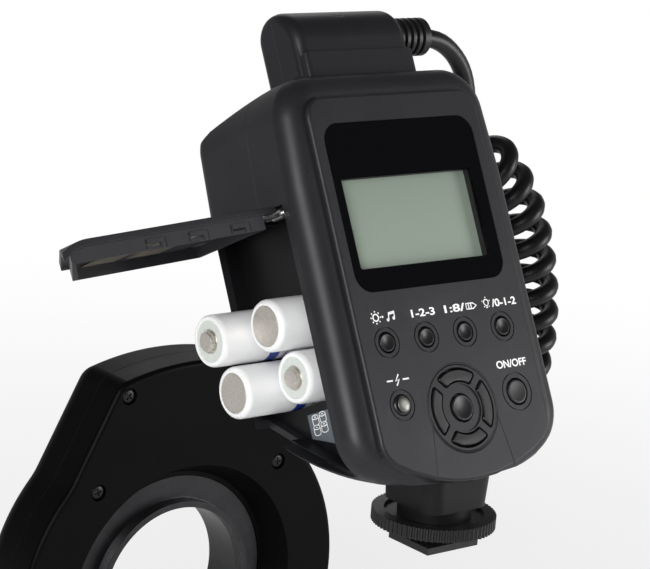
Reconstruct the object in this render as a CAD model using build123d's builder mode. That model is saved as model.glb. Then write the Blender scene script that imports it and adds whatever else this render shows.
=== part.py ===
"""Macro ring flash: a control unit on a hot-shoe foot, a curly cord and a ring flash head.

Millimetres. +Z is up, +X is the photographer's right, +Y points to the lens side.
The origin is the centre of the hot-shoe foot's underside.
"""
from build123d import *
import math
import os

os.makedirs("parts", exist_ok=True)

# Clearances and cuts
RUN_GAP = 0.25
FIT_GAP = 0.1
SHAFT_GAP = 0.05
OVERRUN = 5.0

# Cells: the control unit is built round two columns of them
CELL_RADIUS = 7.25
CELL_LENGTH = 50.5
CELL_APART = 0.5
CELL_PITCH = 2 * CELL_RADIUS + CELL_APART
BAY_NEAR = 9.6
BAY_SIDE = 2.25
CELL_NEAR_COLUMN = BAY_NEAR + BAY_SIDE + CELL_RADIUS

# Control unit: a leaning body. u is right, v is up the panel, w is out of the panel.
LEAN = 27.0
PAD_BACK = 7.6
PAD_HEIGHT = 41.0
BODY_TOP = 97.5
BODY_BOTTOM = -22.0
BODY_SIDE_ROOM = 13.35
BODY_HALF = CELL_LENGTH / 2 + BODY_SIDE_ROOM
BODY_TAPER = 1.8
BODY_TOP_HALF = BODY_HALF - BODY_TAPER
BODY_WAIST = 66.0
BODY_BACK_ROOM = 10.9
BODY_DEPTH = CELL_NEAR_COLUMN + CELL_PITCH + BODY_BACK_ROOM
BOTTOM_ARC = 70.0
TOP_CORNER = 13.0
BOTTOM_CORNER = 14.0
CREST = 0.8
FRONT_ROLL = 5.0
BACK_ROLL = 4.0
WALL = 1.8
SEAM = 20.0
TOP_FLAT = 10.0
TOP_REAR_DROP = 6.0
TOP_REAR_ROOM = 7.0
TOP_REAR_DEPTH = BODY_DEPTH - TOP_REAR_ROOM
BACK_TOP_DROP = 9.5
UNDER_FRONT = -21.1
UNDER_BACK = 8.4
PROFILE_ROUND = 3.0

lean_sin = math.sin(math.radians(LEAN))
lean_cos = math.cos(math.radians(LEAN))
FACE = Plane(origin=(0, -PAD_BACK, PAD_HEIGHT), x_dir=(1, 0, 0), z_dir=(0, -lean_cos, lean_sin))
SIDE = Plane(origin=FACE.origin, x_dir=FACE.y_dir, z_dir=FACE.x_dir)
OUT = FACE.z_dir
UP_FACE = FACE.y_dir


def underside(w):
    """Height of the body's underside at a depth w, which is negative behind the panel."""
    return UNDER_FRONT + (UNDER_BACK - UNDER_FRONT) * -w / BODY_DEPTH


# Panel plateau, display and keys
PLATEAU_SIDE = 7.6
PLATEAU_HALF = BODY_HALF - PLATEAU_SIDE
PLATEAU_TOP_ROOM = 7.5
PLATEAU_TOP = BODY_TOP - PLATEAU_TOP_ROOM
PLATEAU_LOW_ROOM = 2.0
PLATEAU_BOTTOM = BODY_BOTTOM + PLATEAU_LOW_ROOM
PLATEAU_ARC = 55.0
PLATEAU_TOP_ROUND = 6.0
PLATEAU_CORNER = 8.0
PLATEAU_EDGE = 0.5
GROOVE_WIDTH = 1.3
GROOVE_DEPTH = 0.7
WINDOW_SIDE = 3.7
WINDOW_HALF = PLATEAU_HALF - WINDOW_SIDE
WINDOW_TOP_ROOM = 7.85
WINDOW_HEIGHT = 47.55
WINDOW_HIGH = PLATEAU_TOP - WINDOW_TOP_ROOM
WINDOW_LOW = WINDOW_HIGH - WINDOW_HEIGHT
WINDOW_ROUND = 5.5
WINDOW_SINK = 0.25
WINDOW_THICK = 1.2
WINDOW_LEDGE = 1.5
DISPLAY_LEFT_ROOM = 3.0
DISPLAY_LEFT = DISPLAY_LEFT_ROOM - WINDOW_HALF
DISPLAY_RIGHT_ROOM = 4.2
DISPLAY_RIGHT = WINDOW_HALF - DISPLAY_RIGHT_ROOM
DISPLAY_LOW_ROOM = 6.6
DISPLAY_LOW = WINDOW_LOW + DISPLAY_LOW_ROOM
DISPLAY_HIGH_ROOM = 15.45
DISPLAY_HIGH = WINDOW_HIGH - DISPLAY_HIGH_ROOM
DISPLAY_SINK = 3.4
DISPLAY_MARGIN = 2.2
BOARD_FACE = 6.2
BOARD_THICK = 1.4
KEY_TRAVEL = 0.7
KEY_RISE = 0.35
KEY_FLANGE = 0.7
KEY_FLANGE_THICK = 0.7
KEY_STEM = 1.6
SMALL_KEY = 2.8
SMALL_KEY_DROP = 14.0
SMALL_KEY_ROW = WINDOW_LOW - SMALL_KEY_DROP
SMALL_KEY_PITCH_SHARE = 0.4574
SMALL_KEY_PITCH = SMALL_KEY_PITCH_SHARE * PLATEAU_HALF
RING_MARK = 4.38
RING_MARK_WIDTH = 0.35
RING_MARK_DEPTH = 0.35
PILOT_SHARE = 0.6742
PILOT_U = -PILOT_SHARE * PLATEAU_HALF
PILOT_V = 3.3
POWER_SHARE = 0.6806
POWER_U = POWER_SHARE * PLATEAU_HALF
POWER_V = 1.9
POWER_KEY = 3.7
POWER_MARK = 5.5
PAD_RADIUS = 12.0
PAD_FLANGE = 1.0
PAD_FLANGE_THICK = 0.7
ARC_KEY_OUT = 11.0
ARC_KEY_IN = 7.3
ARC_SPOKE = 2.4
ARC_ROUND = 0.7
CENTRE_KEY = 3.9
CENTRE_DISH = 6.7
CENTRE_DISH_DEPTH = 0.4

# Battery bay on the photographer's left, and its door
BAY_BACK = 2.1
BAY_FAR = BODY_DEPTH - BAY_BACK
BAY_TOP = 63.1
BAY_LOW_NEAR = -11.2
BAY_LOW_FAR = 8.9
BAY_LEDGE = 2.4
BAY_RECESS_DEPTH = 7.6
BAY_RECESS = BODY_HALF - BAY_RECESS_DEPTH
BAY_WALL = 1.1
CELL_GAP = 0.2
CELL_LOW_ROW = 17.0
CELL_NUB = 2.75
CELL_NUB_RISE = 1.3
CELL_EDGE = 0.9
CELL_SINK = 3.9
CELL_SEATED = BODY_HALF - CELL_SINK
CELL_PULL_NEAR_HIGH = 11.2
CELL_PULL_FAR_HIGH = 20.8
CELL_PULL_NEAR_LOW = 6.8
CELL_PULL_FAR_LOW = 15.3
PIN_INSET = 1.8
PIN_U = PIN_INSET - BODY_HALF
PIN_DROP = 1.9
PIN_V = BAY_TOP - PIN_DROP
PIN_RADIUS = 0.8
OPEN_ANGLE = 86.45
DOOR_SLIDE = 2.0
DOOR_GAP = 0.3
SKIN_THICK = 1.8
DOOR_START = 1.9
CARRIER_NEAR_INSET = 0.9
CARRIER_FAR_INSET = 0.6
CARRIER_LOW_INSET = 2.8
CARRIER_WALL = 0.6
CARRIER_DEPTH = 3.9
CARRIER_FLOOR = 1.0
CARRIER_START = 6.5
CATCH_LENGTH = 5.5
CATCH_POST = 1.2
CATCH_HEIGHT = 2.6
CATCH_PROUD = 0.45
CATCH_PITCH = 14.0
CATCH_COUNT = 3
CATCH_SINK = 1.1
ARM_WIDTH = 5.0
ARM_THICK = 0.8
ARM_REACH = 12.0
ARM_NEAR = 14.0
ARM_FAR = 38.5
KNUCKLE = 1.5
LUG_WIDTH = 3.0
LUG_NEAR = 21.5
LUG_FAR = 31.0
LUG_BACK = 2.3
PLATE_THICK = 0.4
PLATE_RADIUS = 5.5
LABEL_THICK = 0.3
LABEL_NEAR = 15.0
LABEL_FAR = 28.0
LABEL_TOP = 7.2
LABEL_LOW_NEAR = -3.4
LABEL_LOW_FAR = 0.6

# Cord housing on top of the body
BLOCK_HALF = 20.5
BLOCK_NEAR = 8.7
BLOCK_FAR = 28.3
BLOCK_TOP = 119.5
BLOCK_ROUND = 8.5
BLOCK_LEDGE = 105.0
BLOCK_STEP = 1.4
BLOCK_END_ROUND = 2.4
BLOCK_WALL = 2.2
PLUG_RADIUS = 4.4
PLUG_HEIGHT = 112.5
PLUG_THICK = 2.2
RELIEF_HEIGHT = 111.0
RELIEF_RADIUS = 5.6
RELIEF_NECK = 4.3
RELIEF_RIB_PITCH = 2.3
RELIEF_RIB_WIDTH = 1.1
RELIEF_COLLAR = 1.5

# Neck, lock wheel and hot-shoe foot
NECK_TOP_HALF = 13.5
NECK_LOW_HALF = 11.4
NECK_DEPTH_HALF = 11.1
NECK_LOW = 12.0
NECK_ROUND = 5.0
WHEEL_RADIUS = 17.5
WHEEL_LOW = 5.6
WHEEL_THICK = 3.5
WHEEL_DISH = 14.0
WHEEL_DISH_DEPTH = 1.0
WHEEL_TEETH = 72
WHEEL_TOOTH = 0.5
COLLAR_RADIUS = 10.4
STEM_RADIUS = 6.1
FOOT_WIDTH = 18.6
FOOT_LENGTH = 18.0
FOOT_THICK = 2.0
FOOT_CHAMFER = 1.5
WASHER_RADIUS = 12.0
WASHER_THICK = 1.3
LOCK_PIN = 1.0
LOCK_PIN_Y = 4.0
LOCK_PIN_LENGTH = 6.0
CONTACT_RADIUS = 1.1
CONTACT_SMALL = 0.8
CONTACT_CIRCLE = 4.2
LOCK_PIN_SINK = 0.1
CONTACT_ANGLES = (-157, -113, -67, -23)

# Ring flash head: x, z about the lens axis, depth along +Y
HEAD_REAR = 112.4
HEAD_AXIS = -55.0
HEAD_DEPTH = 26.0
HEAD_SEAM = 10.5
HEAD_RADIUS = 61.0
HEAD_BOTTOM_CUT = 4.0
HEAD_BOTTOM = HEAD_BOTTOM_CUT - HEAD_RADIUS
HEAD_BOTTOM_ROUND = 14.0
CROWN_RISE = 16.0
CROWN_TOP = HEAD_RADIUS + CROWN_RISE
CROWN_DROP = 4.5
CROWN_SHOULDER = CROWN_TOP - CROWN_DROP
CROWN_HALF_SHARE = 0.472
CROWN_HALF = CROWN_HALF_SHARE * HEAD_RADIUS
CROWN_BASE_SHARE = 0.492
CROWN_BASE = CROWN_BASE_SHARE * HEAD_RADIUS
CROWN_BASE_HALF_SHARE = 0.836
CROWN_BASE_HALF = CROWN_BASE_HALF_SHARE * HEAD_RADIUS
CROWN_ROUND = 7.0
CROWN_BLEND = 22.0
HEAD_REAR_ROUND = 1.6
HEAD_FRONT_ROUND = 8.0
HEAD_WALL = 2.0
HEAD_BORE_SHARE = 0.6
HEAD_BORE = HEAD_BORE_SHARE * HEAD_RADIUS
REAR_MOUTH_FLARE = 5.9
REAR_MOUTH = HEAD_BORE + REAR_MOUTH_FLARE
REAR_THROAT_FLARE = 1.4
REAR_THROAT = HEAD_BORE + REAR_THROAT_FLARE
FRONT_MOUTH_STEP = 1.6
FRONT_MOUTH = HEAD_BORE - FRONT_MOUTH_STEP
FRONT_LIP = 3.0
RING_WIDTH = 7.6
LENS_THREAD = HEAD_BORE - RING_WIDTH
LENS_THREAD_LENGTH = 4.0
THREAD_WALL = 2.0
RING_BORE = LENS_THREAD - THREAD_WALL
THROAT_DEPTH = 8.5
RING_GROOVE = 1.9
GLASS_MARGIN = 2.8
GLASS_IN = HEAD_BORE + GLASS_MARGIN
GLASS_SIDE = 8.6
GLASS_OUT = HEAD_RADIUS - GLASS_SIDE
GLASS_SPAN = 62.0
GLASS_RISE = 1.6
GLASS_ROUND = 3.0
REFLECTOR_THICK = 0.8
REFLECTOR_DEPTH = 8.5
REFLECTOR_RIM = 0.5
TUBE_CIRCLE = (GLASS_IN + GLASS_OUT) / 2
TUBE_RADIUS = 2.5
TUBE_SPAN = 52.0
LAMP_RADIUS = 3.2
LAMP_TOP_X = 17.0
LAMP_TOP_DROP = 2.0
LAMP_TOP_Z = HEAD_RADIUS - LAMP_TOP_DROP
LAMP_LOW_X = 14.0
LAMP_LOW_RISE = 17.0
LAMP_LOW_Z = LAMP_LOW_RISE - HEAD_RADIUS
LAMP_LENGTH = 6.0
HEAD_SCREW_SHARES = ((0.574, 0.639), (0.42, 1.125), (0.623, -0.623))
HEAD_SCREW = 2.4
HEAD_SCREW_HEAD = 1.2
HEAD_SCREW_SHAFT = 1.0
HEAD_SCREW_WELL = 2.7
HEAD_SCREW_SINK = 0.3
HEAD_SCREW_LENGTH = 12.0
HEAD_BOSS = 3.4
HEAD_BOSS_DEPTH = 14.5
HEAD_BOSS_RIB = 9.0
HEAD_BOARD_HALF = 20.0
HEAD_BOARD_DROP = 14.0
HEAD_BOARD_LOW = HEAD_RADIUS - HEAD_BOARD_DROP
HEAD_BOARD_RISE = 5.0
HEAD_BOARD_HIGH = HEAD_RADIUS + HEAD_BOARD_RISE
BUTTON_Z = -6.0
BUTTON_LENGTH = 18.0
BUTTON_WIDTH = 7.0
BUTTON_RISE = 1.8
BUTTON_TRAVEL = 2.0
BUTTON_FLANGE = 1.4
BUTTON_FLANGE_THICK = 1.2
BUTTON_DEPTH = 14.25
YOKE_CLEAR = 4.4
YOKE_IN = HEAD_BORE + YOKE_CLEAR
YOKE_WIDTH = 2.0
YOKE_OUT = YOKE_IN + YOKE_WIDTH
YOKE_THICK = 1.4
YOKE_LEFT_DEPTH = 11.0
YOKE_RIGHT_DEPTH = 13.0
LATCH_WIDTH = 6.0
LATCH_BITE = 1.0
LATCH_REACH = HEAD_BORE - LATCH_BITE
HEAD_BOARD_THICK = 1.4

# Curly cord: the lead, the coil's axis and the tail, as points in the row's frame
CORD = 5.5
CURL_RADIUS = 7.25
CURL_BEND = 10.0
CURL_PITCH_START = 12.0
CURL_PITCH_END = 8.1
CURL_PITCH_REACH = 22.0
LEAD_ROUTE = (
    (27.5, 59.3, 131.5),
    (36.9, 59.4, 131.5),
    (45.8, 59.6, 127.3),
    (52.2, 59.8, 119.8),
    (54.7, 60.0, 110.3),
    (56.1, 60.0, 104.9),
)
CURL_AXIS = (
    (66.5, 66.0, 94.5),
    (76.0, 63.8, 84.5),
    (82.7, 61.3, 71.0),
    (87.0, 60.0, 55.0),
    (89.3, 60.0, 40.0),
    (90.4, 61.2, 26.5),
    (91.0, 68.5, 12.5),
    (88.8, 81.5, 3.5),
    (83.2, 95.5, 0.0),
)
TAIL_ROUTE = (
    (73.5, 111.0, 8.0),
    (67.5, 119.5, 13.0),
    (58.6, 125.0, 13.0),
)
LEAD_SIDE = (0, -1, 0)
TAIL_SIDE = (0, 0, 1)
GLAND_LENGTH = 15.0
GLAND_RADIUS = 5.0
GLAND_TIP = 3.9
GLAND_STEM = 4.2
GLAND_INSIDE = 3.5
GLAND_DEPTH = 12.6
GLAND_X_SHARE = 0.61
GLAND_BASE_X = GLAND_X_SHARE * HEAD_RADIUS
GLAND_Z_SHARE = 0.939
GLAND_BASE_Z = GLAND_Z_SHARE * HEAD_RADIUS
GLAND_TILT = 27.0


def face_at(depth):
    """The panel plane moved back into the body by a depth."""
    return FACE.offset(-depth)


# Body form: the outline seen on the panel, cut by the profile seen from the side
def body_form(inset):
    with BuildPart() as form:
        with BuildSketch(face_at(BODY_DEPTH - inset)) as outline:
            with BuildLine():
                low_side = BODY_BOTTOM + BOTTOM_ARC - math.sqrt(BOTTOM_ARC**2 - BODY_HALF**2)
                Polyline(
                    (-BODY_HALF, low_side),
                    (-BODY_HALF, BODY_WAIST),
                    (-BODY_TOP_HALF, BODY_TOP),
                    (BODY_TOP_HALF, BODY_TOP),
                    (BODY_HALF, BODY_WAIST),
                    (BODY_HALF, low_side),
                )
                ThreePointArc((BODY_HALF, low_side), (0, BODY_BOTTOM), (-BODY_HALF, low_side))
            make_face()
            fillet(outline.vertices().group_by(Axis.Y)[-1], TOP_CORNER)
            fillet(outline.vertices().group_by(Axis.Y)[0], BOTTOM_CORNER)
            if inset:
                offset(amount=-inset, mode=Mode.REPLACE)
        extrude(amount=BODY_DEPTH - CREST - 2 * inset)
        front = form.faces().sort_by(Axis((0, 0, 0), tuple(OUT)))[-1]
        back = form.faces().sort_by(Axis((0, 0, 0), tuple(OUT)))[0]
        fillet(front.edges(), FRONT_ROLL - inset)
        fillet(back.edges(), BACK_ROLL - inset)
        with BuildSketch(SIDE.offset(-BODY_HALF - OVERRUN)) as profile:
            with BuildLine():
                Polyline(
                    (BODY_TOP, OVERRUN),
                    (BODY_TOP, -TOP_FLAT),
                    (BODY_TOP - TOP_REAR_DROP, -TOP_REAR_DEPTH),
                    (BODY_TOP - BACK_TOP_DROP, -BODY_DEPTH),
                    (UNDER_BACK, -BODY_DEPTH),
                    (UNDER_FRONT, 0),
                    (UNDER_FRONT, OVERRUN),
                    close=True,
                )
            make_face()
            fillet(profile.vertices().group_by(Axis.Y)[0], PROFILE_ROUND)
            if inset:
                offset(amount=-inset, mode=Mode.REPLACE)
        extrude(amount=2 * (BODY_HALF + OVERRUN), mode=Mode.INTERSECT)
    return form.part


body_outer = body_form(0)
body_inner = body_form(WALL)


def plateau_outline(grow):
    """The raised panel's outline, grown outwards by an amount."""
    with BuildSketch() as outline:
        with BuildLine():
            low_side = PLATEAU_BOTTOM + PLATEAU_ARC - math.sqrt(PLATEAU_ARC**2 - PLATEAU_HALF**2)
            Polyline(
                (-PLATEAU_HALF, low_side),
                (-PLATEAU_HALF, PLATEAU_TOP),
                (PLATEAU_HALF, PLATEAU_TOP),
                (PLATEAU_HALF, low_side),
            )
            ThreePointArc((PLATEAU_HALF, low_side), (0, PLATEAU_BOTTOM), (-PLATEAU_HALF, low_side))
        make_face()
        fillet(outline.vertices().group_by(Axis.Y)[-1], PLATEAU_TOP_ROUND)
        fillet(outline.vertices().group_by(Axis.Y)[0], PLATEAU_CORNER)
        if grow:
            offset(amount=grow, mode=Mode.REPLACE)
    return outline.sketch


def bay_outline(grow, ledge=0):
    """The battery bay's mouth on the side plane, grown outwards, its lower edge moved down by a ledge."""
    with BuildSketch() as outline:
        with BuildLine():
            Polyline(
                (BAY_TOP, -BAY_NEAR),
                (BAY_TOP, -BAY_FAR),
                (BAY_LOW_FAR - ledge, -BAY_FAR),
                (BAY_LOW_NEAR - ledge, -BAY_NEAR),
                close=True,
            )
        make_face()
        if grow:
            offset(amount=grow, kind=Kind.INTERSECTION, mode=Mode.REPLACE)
    return outline.sketch


key_places = [(SMALL_KEY_PITCH * (i - 1.5), SMALL_KEY_ROW, SMALL_KEY) for i in range(4)]
key_places += [(PILOT_U, PILOT_V, SMALL_KEY), (POWER_U, POWER_V, POWER_KEY)]
key_names = ["light_key", "mode_key", "ratio_key", "lamp_key", "pilot_key", "power_key"]
mark_radii = [RING_MARK] * 5 + [POWER_MARK]
panel_back = CREST + WALL

# Panel shell: the front half of the casing, with the raised panel
with BuildPart() as panel_shell:
    add(body_outer)
    add(body_inner, mode=Mode.SUBTRACT)
    split(bisect_by=face_at(SEAM), keep=Keep.TOP)
    with BuildSketch(face_at(CREST + GROOVE_DEPTH)):
        add(plateau_outline(GROOVE_WIDTH))
    extrude(amount=GROOVE_DEPTH + OVERRUN, mode=Mode.SUBTRACT)
    with BuildSketch(face_at(panel_back)):
        add(plateau_outline(0))
    extrude(amount=panel_back)
    chamfer(panel_shell.faces().sort_by(Axis((0, 0, 0), tuple(OUT)))[-1].edges(), PLATEAU_EDGE)
    with BuildSketch(face_at(WINDOW_SINK + WINDOW_THICK)):
        with Locations((0, (WINDOW_LOW + WINDOW_HIGH) / 2)):
            RectangleRounded(2 * WINDOW_HALF, WINDOW_HIGH - WINDOW_LOW, WINDOW_ROUND)
    extrude(amount=panel_back, mode=Mode.SUBTRACT)
    with BuildSketch(FACE):
        with Locations((0, (WINDOW_LOW + WINDOW_HIGH) / 2)):
            RectangleRounded(
                2 * (WINDOW_HALF - WINDOW_LEDGE),
                WINDOW_HIGH - WINDOW_LOW - 2 * WINDOW_LEDGE,
                WINDOW_ROUND - WINDOW_LEDGE,
            )
    extrude(amount=-panel_back - OVERRUN, mode=Mode.SUBTRACT)
    with BuildSketch(FACE):
        for (u, v, radius) in key_places:
            with Locations((u, v)):
                Circle(radius + RUN_GAP)
        Circle(PAD_RADIUS)
    extrude(amount=-panel_back - OVERRUN, mode=Mode.SUBTRACT)
    with BuildSketch(face_at(RING_MARK_DEPTH)):
        for (u, v, radius), mark in zip(key_places, mark_radii):
            with Locations((u, v)):
                Circle(mark)
                Circle(mark - RING_MARK_WIDTH, mode=Mode.SUBTRACT)
    extrude(amount=OVERRUN, mode=Mode.SUBTRACT)
    with BuildSketch(SIDE.offset(-BODY_HALF - OVERRUN)):
        add(bay_outline(0, BAY_LEDGE))
    extrude(amount=2 * OVERRUN, mode=Mode.SUBTRACT)
panel_shell.part.label = "panel_shell"
export_step(panel_shell.part, "parts/panel_shell.step")

# Lens-side shell: the rear half of the casing, with two cradle ribs for the capacitor
CAPACITOR_RADIUS = 12.0
CAPACITOR_LENGTH = 58.0
CAPACITOR_GAP = 0.8
CAPACITOR_HEIGHT = BAY_TOP + BAY_WALL + CAPACITOR_GAP + CAPACITOR_RADIUS
CRADLE_U = 18.0
CRADLE_WIDTH = 2.0
CRADLE_DEPTH = 6.0
CRADLE_HALF = 9.0
inner_back = BODY_DEPTH - WALL
capacitor_w = CAPACITOR_RADIUS - inner_back
with BuildPart() as lens_side_shell:
    add(body_outer)
    add(body_inner, mode=Mode.SUBTRACT)
    split(bisect_by=face_at(SEAM), keep=Keep.BOTTOM)
    with BuildSketch(SIDE.offset(-BODY_HALF - OVERRUN)):
        add(bay_outline(0, BAY_LEDGE))
    extrude(amount=2 * OVERRUN, mode=Mode.SUBTRACT)
    with BuildSketch(face_at(inner_back)):
        with Locations((-CRADLE_U, CAPACITOR_HEIGHT), (CRADLE_U, CAPACITOR_HEIGHT)):
            Rectangle(CRADLE_WIDTH, 2 * CRADLE_HALF)
    extrude(amount=CRADLE_DEPTH)
    with BuildSketch(SIDE):
        with Locations((CAPACITOR_HEIGHT, capacitor_w)):
            Circle(CAPACITOR_RADIUS)
    extrude(amount=CAPACITOR_LENGTH / 2, both=True, mode=Mode.SUBTRACT)
lens_side_shell.part.label = "lens_side_shell"
export_step(lens_side_shell.part, "parts/lens_side_shell.step")

# Flash capacitor, lying in the cradles
with BuildPart() as flash_capacitor:
    with BuildSketch(SIDE.offset(-CAPACITOR_LENGTH / 2)):
        with Locations((CAPACITOR_HEIGHT, capacitor_w)):
            Circle(CAPACITOR_RADIUS)
    extrude(amount=CAPACITOR_LENGTH)
    chamfer(flash_capacitor.edges(), CRADLE_WIDTH / 2)
flash_capacitor.part.label = "flash_capacitor"
export_step(flash_capacitor.part, "parts/flash_capacitor.step")

# Main board, standing on the rear shell beside the battery bay
MAIN_BOARD_SIDE = 11.6
MAIN_BOARD_U = BODY_HALF - MAIN_BOARD_SIDE
MAIN_BOARD_LOW = 13.0
MAIN_BOARD_HIGH_ROOM = 3.1
MAIN_BOARD_HIGH = BAY_TOP - MAIN_BOARD_HIGH_ROOM
MAIN_BOARD_NEAR = 10.0
MAIN_BOARD_THICK = 1.6
with BuildPart() as main_board:
    with BuildSketch(SIDE.offset(MAIN_BOARD_U)):
        with Locations(((MAIN_BOARD_LOW + MAIN_BOARD_HIGH) / 2, -(MAIN_BOARD_NEAR + inner_back) / 2)):
            Rectangle(MAIN_BOARD_HIGH - MAIN_BOARD_LOW, inner_back - MAIN_BOARD_NEAR)
    extrude(amount=MAIN_BOARD_THICK)
main_board.part.label = "main_board"
export_step(main_board.part, "parts/main_board.step")

# Battery bay: the liner with a square well for the four cells, a ledge under the door's end and the hinge lugs
cell_columns = [-CELL_NEAR_COLUMN, -CELL_NEAR_COLUMN - CELL_PITCH]
cell_rows = [CELL_LOW_ROW, CELL_LOW_ROW + CELL_PITCH]
cell_centres = [(v, w) for v in cell_rows for w in cell_columns]
cell_middle = (CELL_LOW_ROW + CELL_PITCH / 2, -CELL_NEAR_COLUMN - CELL_PITCH / 2)
ledge_form = body_form(SKIN_THICK + DOOR_GAP)
BAY_FLOOR = 2.1
bay_floor = CELL_LENGTH - CELL_SEATED + PLATE_THICK + CELL_GAP
bay_end = bay_floor + BAY_FLOOR
well_side = CELL_PITCH + 2 * (CELL_RADIUS + CELL_GAP)
with BuildPart() as ledge_cut:
    with BuildSketch(SIDE.offset(-BODY_HALF - OVERRUN)):
        add(bay_outline(0, BAY_LEDGE))
    extrude(amount=BODY_HALF + OVERRUN - BAY_RECESS)
    add(ledge_form, mode=Mode.SUBTRACT)
with BuildPart() as battery_bay:
    with BuildSketch(SIDE.offset(-BODY_HALF)):
        add(bay_outline(BAY_WALL, BAY_LEDGE))
    extrude(amount=BODY_HALF + bay_end)
    add(body_inner, mode=Mode.INTERSECT)
    add(ledge_cut.part, mode=Mode.SUBTRACT)
    with BuildSketch(SIDE.offset(-BAY_RECESS)):
        add(bay_outline(0))
    extrude(amount=-BODY_HALF, mode=Mode.SUBTRACT)
    with BuildSketch(SIDE.offset(bay_floor)):
        with Locations(cell_middle):
            RectangleRounded(well_side, well_side, CELL_RADIUS + CELL_GAP)
    extrude(amount=-BODY_HALF - bay_floor, mode=Mode.SUBTRACT)
    for w in (LUG_NEAR, LUG_FAR):
        with BuildSketch(face_at(w + LUG_WIDTH / 2)):
            with Locations((PIN_U, PIN_V)):
                Circle(KNUCKLE)
            with Locations((PIN_U, PIN_V - KNUCKLE)):
                Rectangle(
                    KNUCKLE + LUG_BACK, BAY_TOP - PIN_V + KNUCKLE + FIT_GAP, align=(Align.MIN, Align.MIN)
                )
        extrude(amount=LUG_WIDTH)
    with BuildSketch(face_at(BAY_FAR)):
        with Locations((PIN_U, PIN_V)):
            Circle(PIN_RADIUS)
    extrude(amount=BAY_FAR - BAY_NEAR, mode=Mode.SUBTRACT)
battery_bay.part.label = "battery_bay"
export_step(battery_bay.part, "parts/battery_bay.step")

# Contact plates at the closed end of the bay
with BuildPart() as bay_contacts:
    with BuildSketch(SIDE.offset(bay_floor - PLATE_THICK)):
        with Locations(*cell_centres):
            Circle(PLATE_RADIUS)
        for w, inwards in zip(cell_columns, (Align.MAX, Align.MIN)):
            with Locations((cell_middle[0], w)):
                Rectangle(CELL_PITCH, PLATE_RADIUS, align=(Align.CENTER, inwards))
    extrude(amount=PLATE_THICK)
bay_contacts.part.label = "bay_contacts"
export_step(bay_contacts.part, "parts/bay_contacts.step")

# Polarity plate on the bay's recess
with BuildPart() as polarity_plate:
    with BuildSketch(SIDE.offset(-BAY_RECESS - LABEL_THICK)):
        with BuildLine():
            Polyline(
                (LABEL_TOP, -LABEL_NEAR),
                (LABEL_TOP, -LABEL_FAR),
                (LABEL_LOW_FAR, -LABEL_FAR),
                (LABEL_LOW_NEAR, -LABEL_NEAR),
                close=True,
            )
        make_face()
    extrude(amount=LABEL_THICK)
polarity_plate.part.label = "polarity_plate"
export_step(polarity_plate.part, "parts/polarity_plate.step")

# Batteries, part of the way out of their bores
cells = [
    ("battery_far_high", cell_rows[1], cell_columns[1], CELL_PULL_FAR_HIGH, True),
    ("battery_near_high", cell_rows[1], cell_columns[0], CELL_PULL_NEAR_HIGH, False),
    ("battery_far_low", cell_rows[0], cell_columns[1], CELL_PULL_FAR_LOW, False),
    ("battery_near_low", cell_rows[0], cell_columns[0], CELL_PULL_NEAR_LOW, True),
]
for name, v, w, pull, nub_out in cells:
    out = CELL_SEATED + pull
    can_start = -out + (CELL_NUB_RISE if nub_out else 0)
    with BuildPart() as battery:
        with BuildSketch(SIDE.offset(can_start)):
            with Locations((v, w)):
                Circle(CELL_RADIUS)
        extrude(amount=CELL_LENGTH - CELL_NUB_RISE)
        fillet(battery.edges(), CELL_EDGE)
        with BuildSketch(SIDE.offset(-out if nub_out else CELL_LENGTH - CELL_NUB_RISE - out)):
            with Locations((v, w)):
                Circle(CELL_NUB)
        extrude(amount=CELL_NUB_RISE)
    battery.part.label = name
    export_step(battery.part, f"parts/{name}.step")

# The door is drawn closed and latched, then slid down and swung open as photographed
PIN_AXIS = Axis(FACE.from_local_coords((PIN_U, PIN_V, 0)), OUT)


def opened(part):
    """Move a piece of the door from its closed, latched place to its open place."""
    return part.moved(Location(UP_FACE * -DOOR_SLIDE)).rotate(PIN_AXIS, -OPEN_ANGLE)


def door_outline(near, far, low, top):
    """A piece of the door on the side plane: insets from the bay's mouth, and a top edge."""
    with BuildSketch() as outline:
        with BuildLine():
            Polyline(
                (top, -BAY_NEAR - near),
                (top, -BAY_FAR + far),
                (BAY_LOW_FAR + low, -BAY_FAR + far),
                (BAY_LOW_NEAR + low, -BAY_NEAR - near),
                close=True,
            )
        make_face()
    return outline.sketch


# Door shell
with BuildPart() as door_shell:
    add(body_outer)
    add(body_form(SKIN_THICK), mode=Mode.SUBTRACT)
    with BuildSketch(SIDE.offset(-BODY_HALF - OVERRUN)):
        add(door_outline(DOOR_GAP, DOOR_GAP, DOOR_GAP, PIN_V - DOOR_START))
    extrude(amount=2 * OVERRUN - DOOR_GAP, mode=Mode.INTERSECT)
door_shell.part = opened(door_shell.part)
door_shell.part.label = "door_shell"
export_step(door_shell.part, "parts/door_shell.step")

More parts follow.
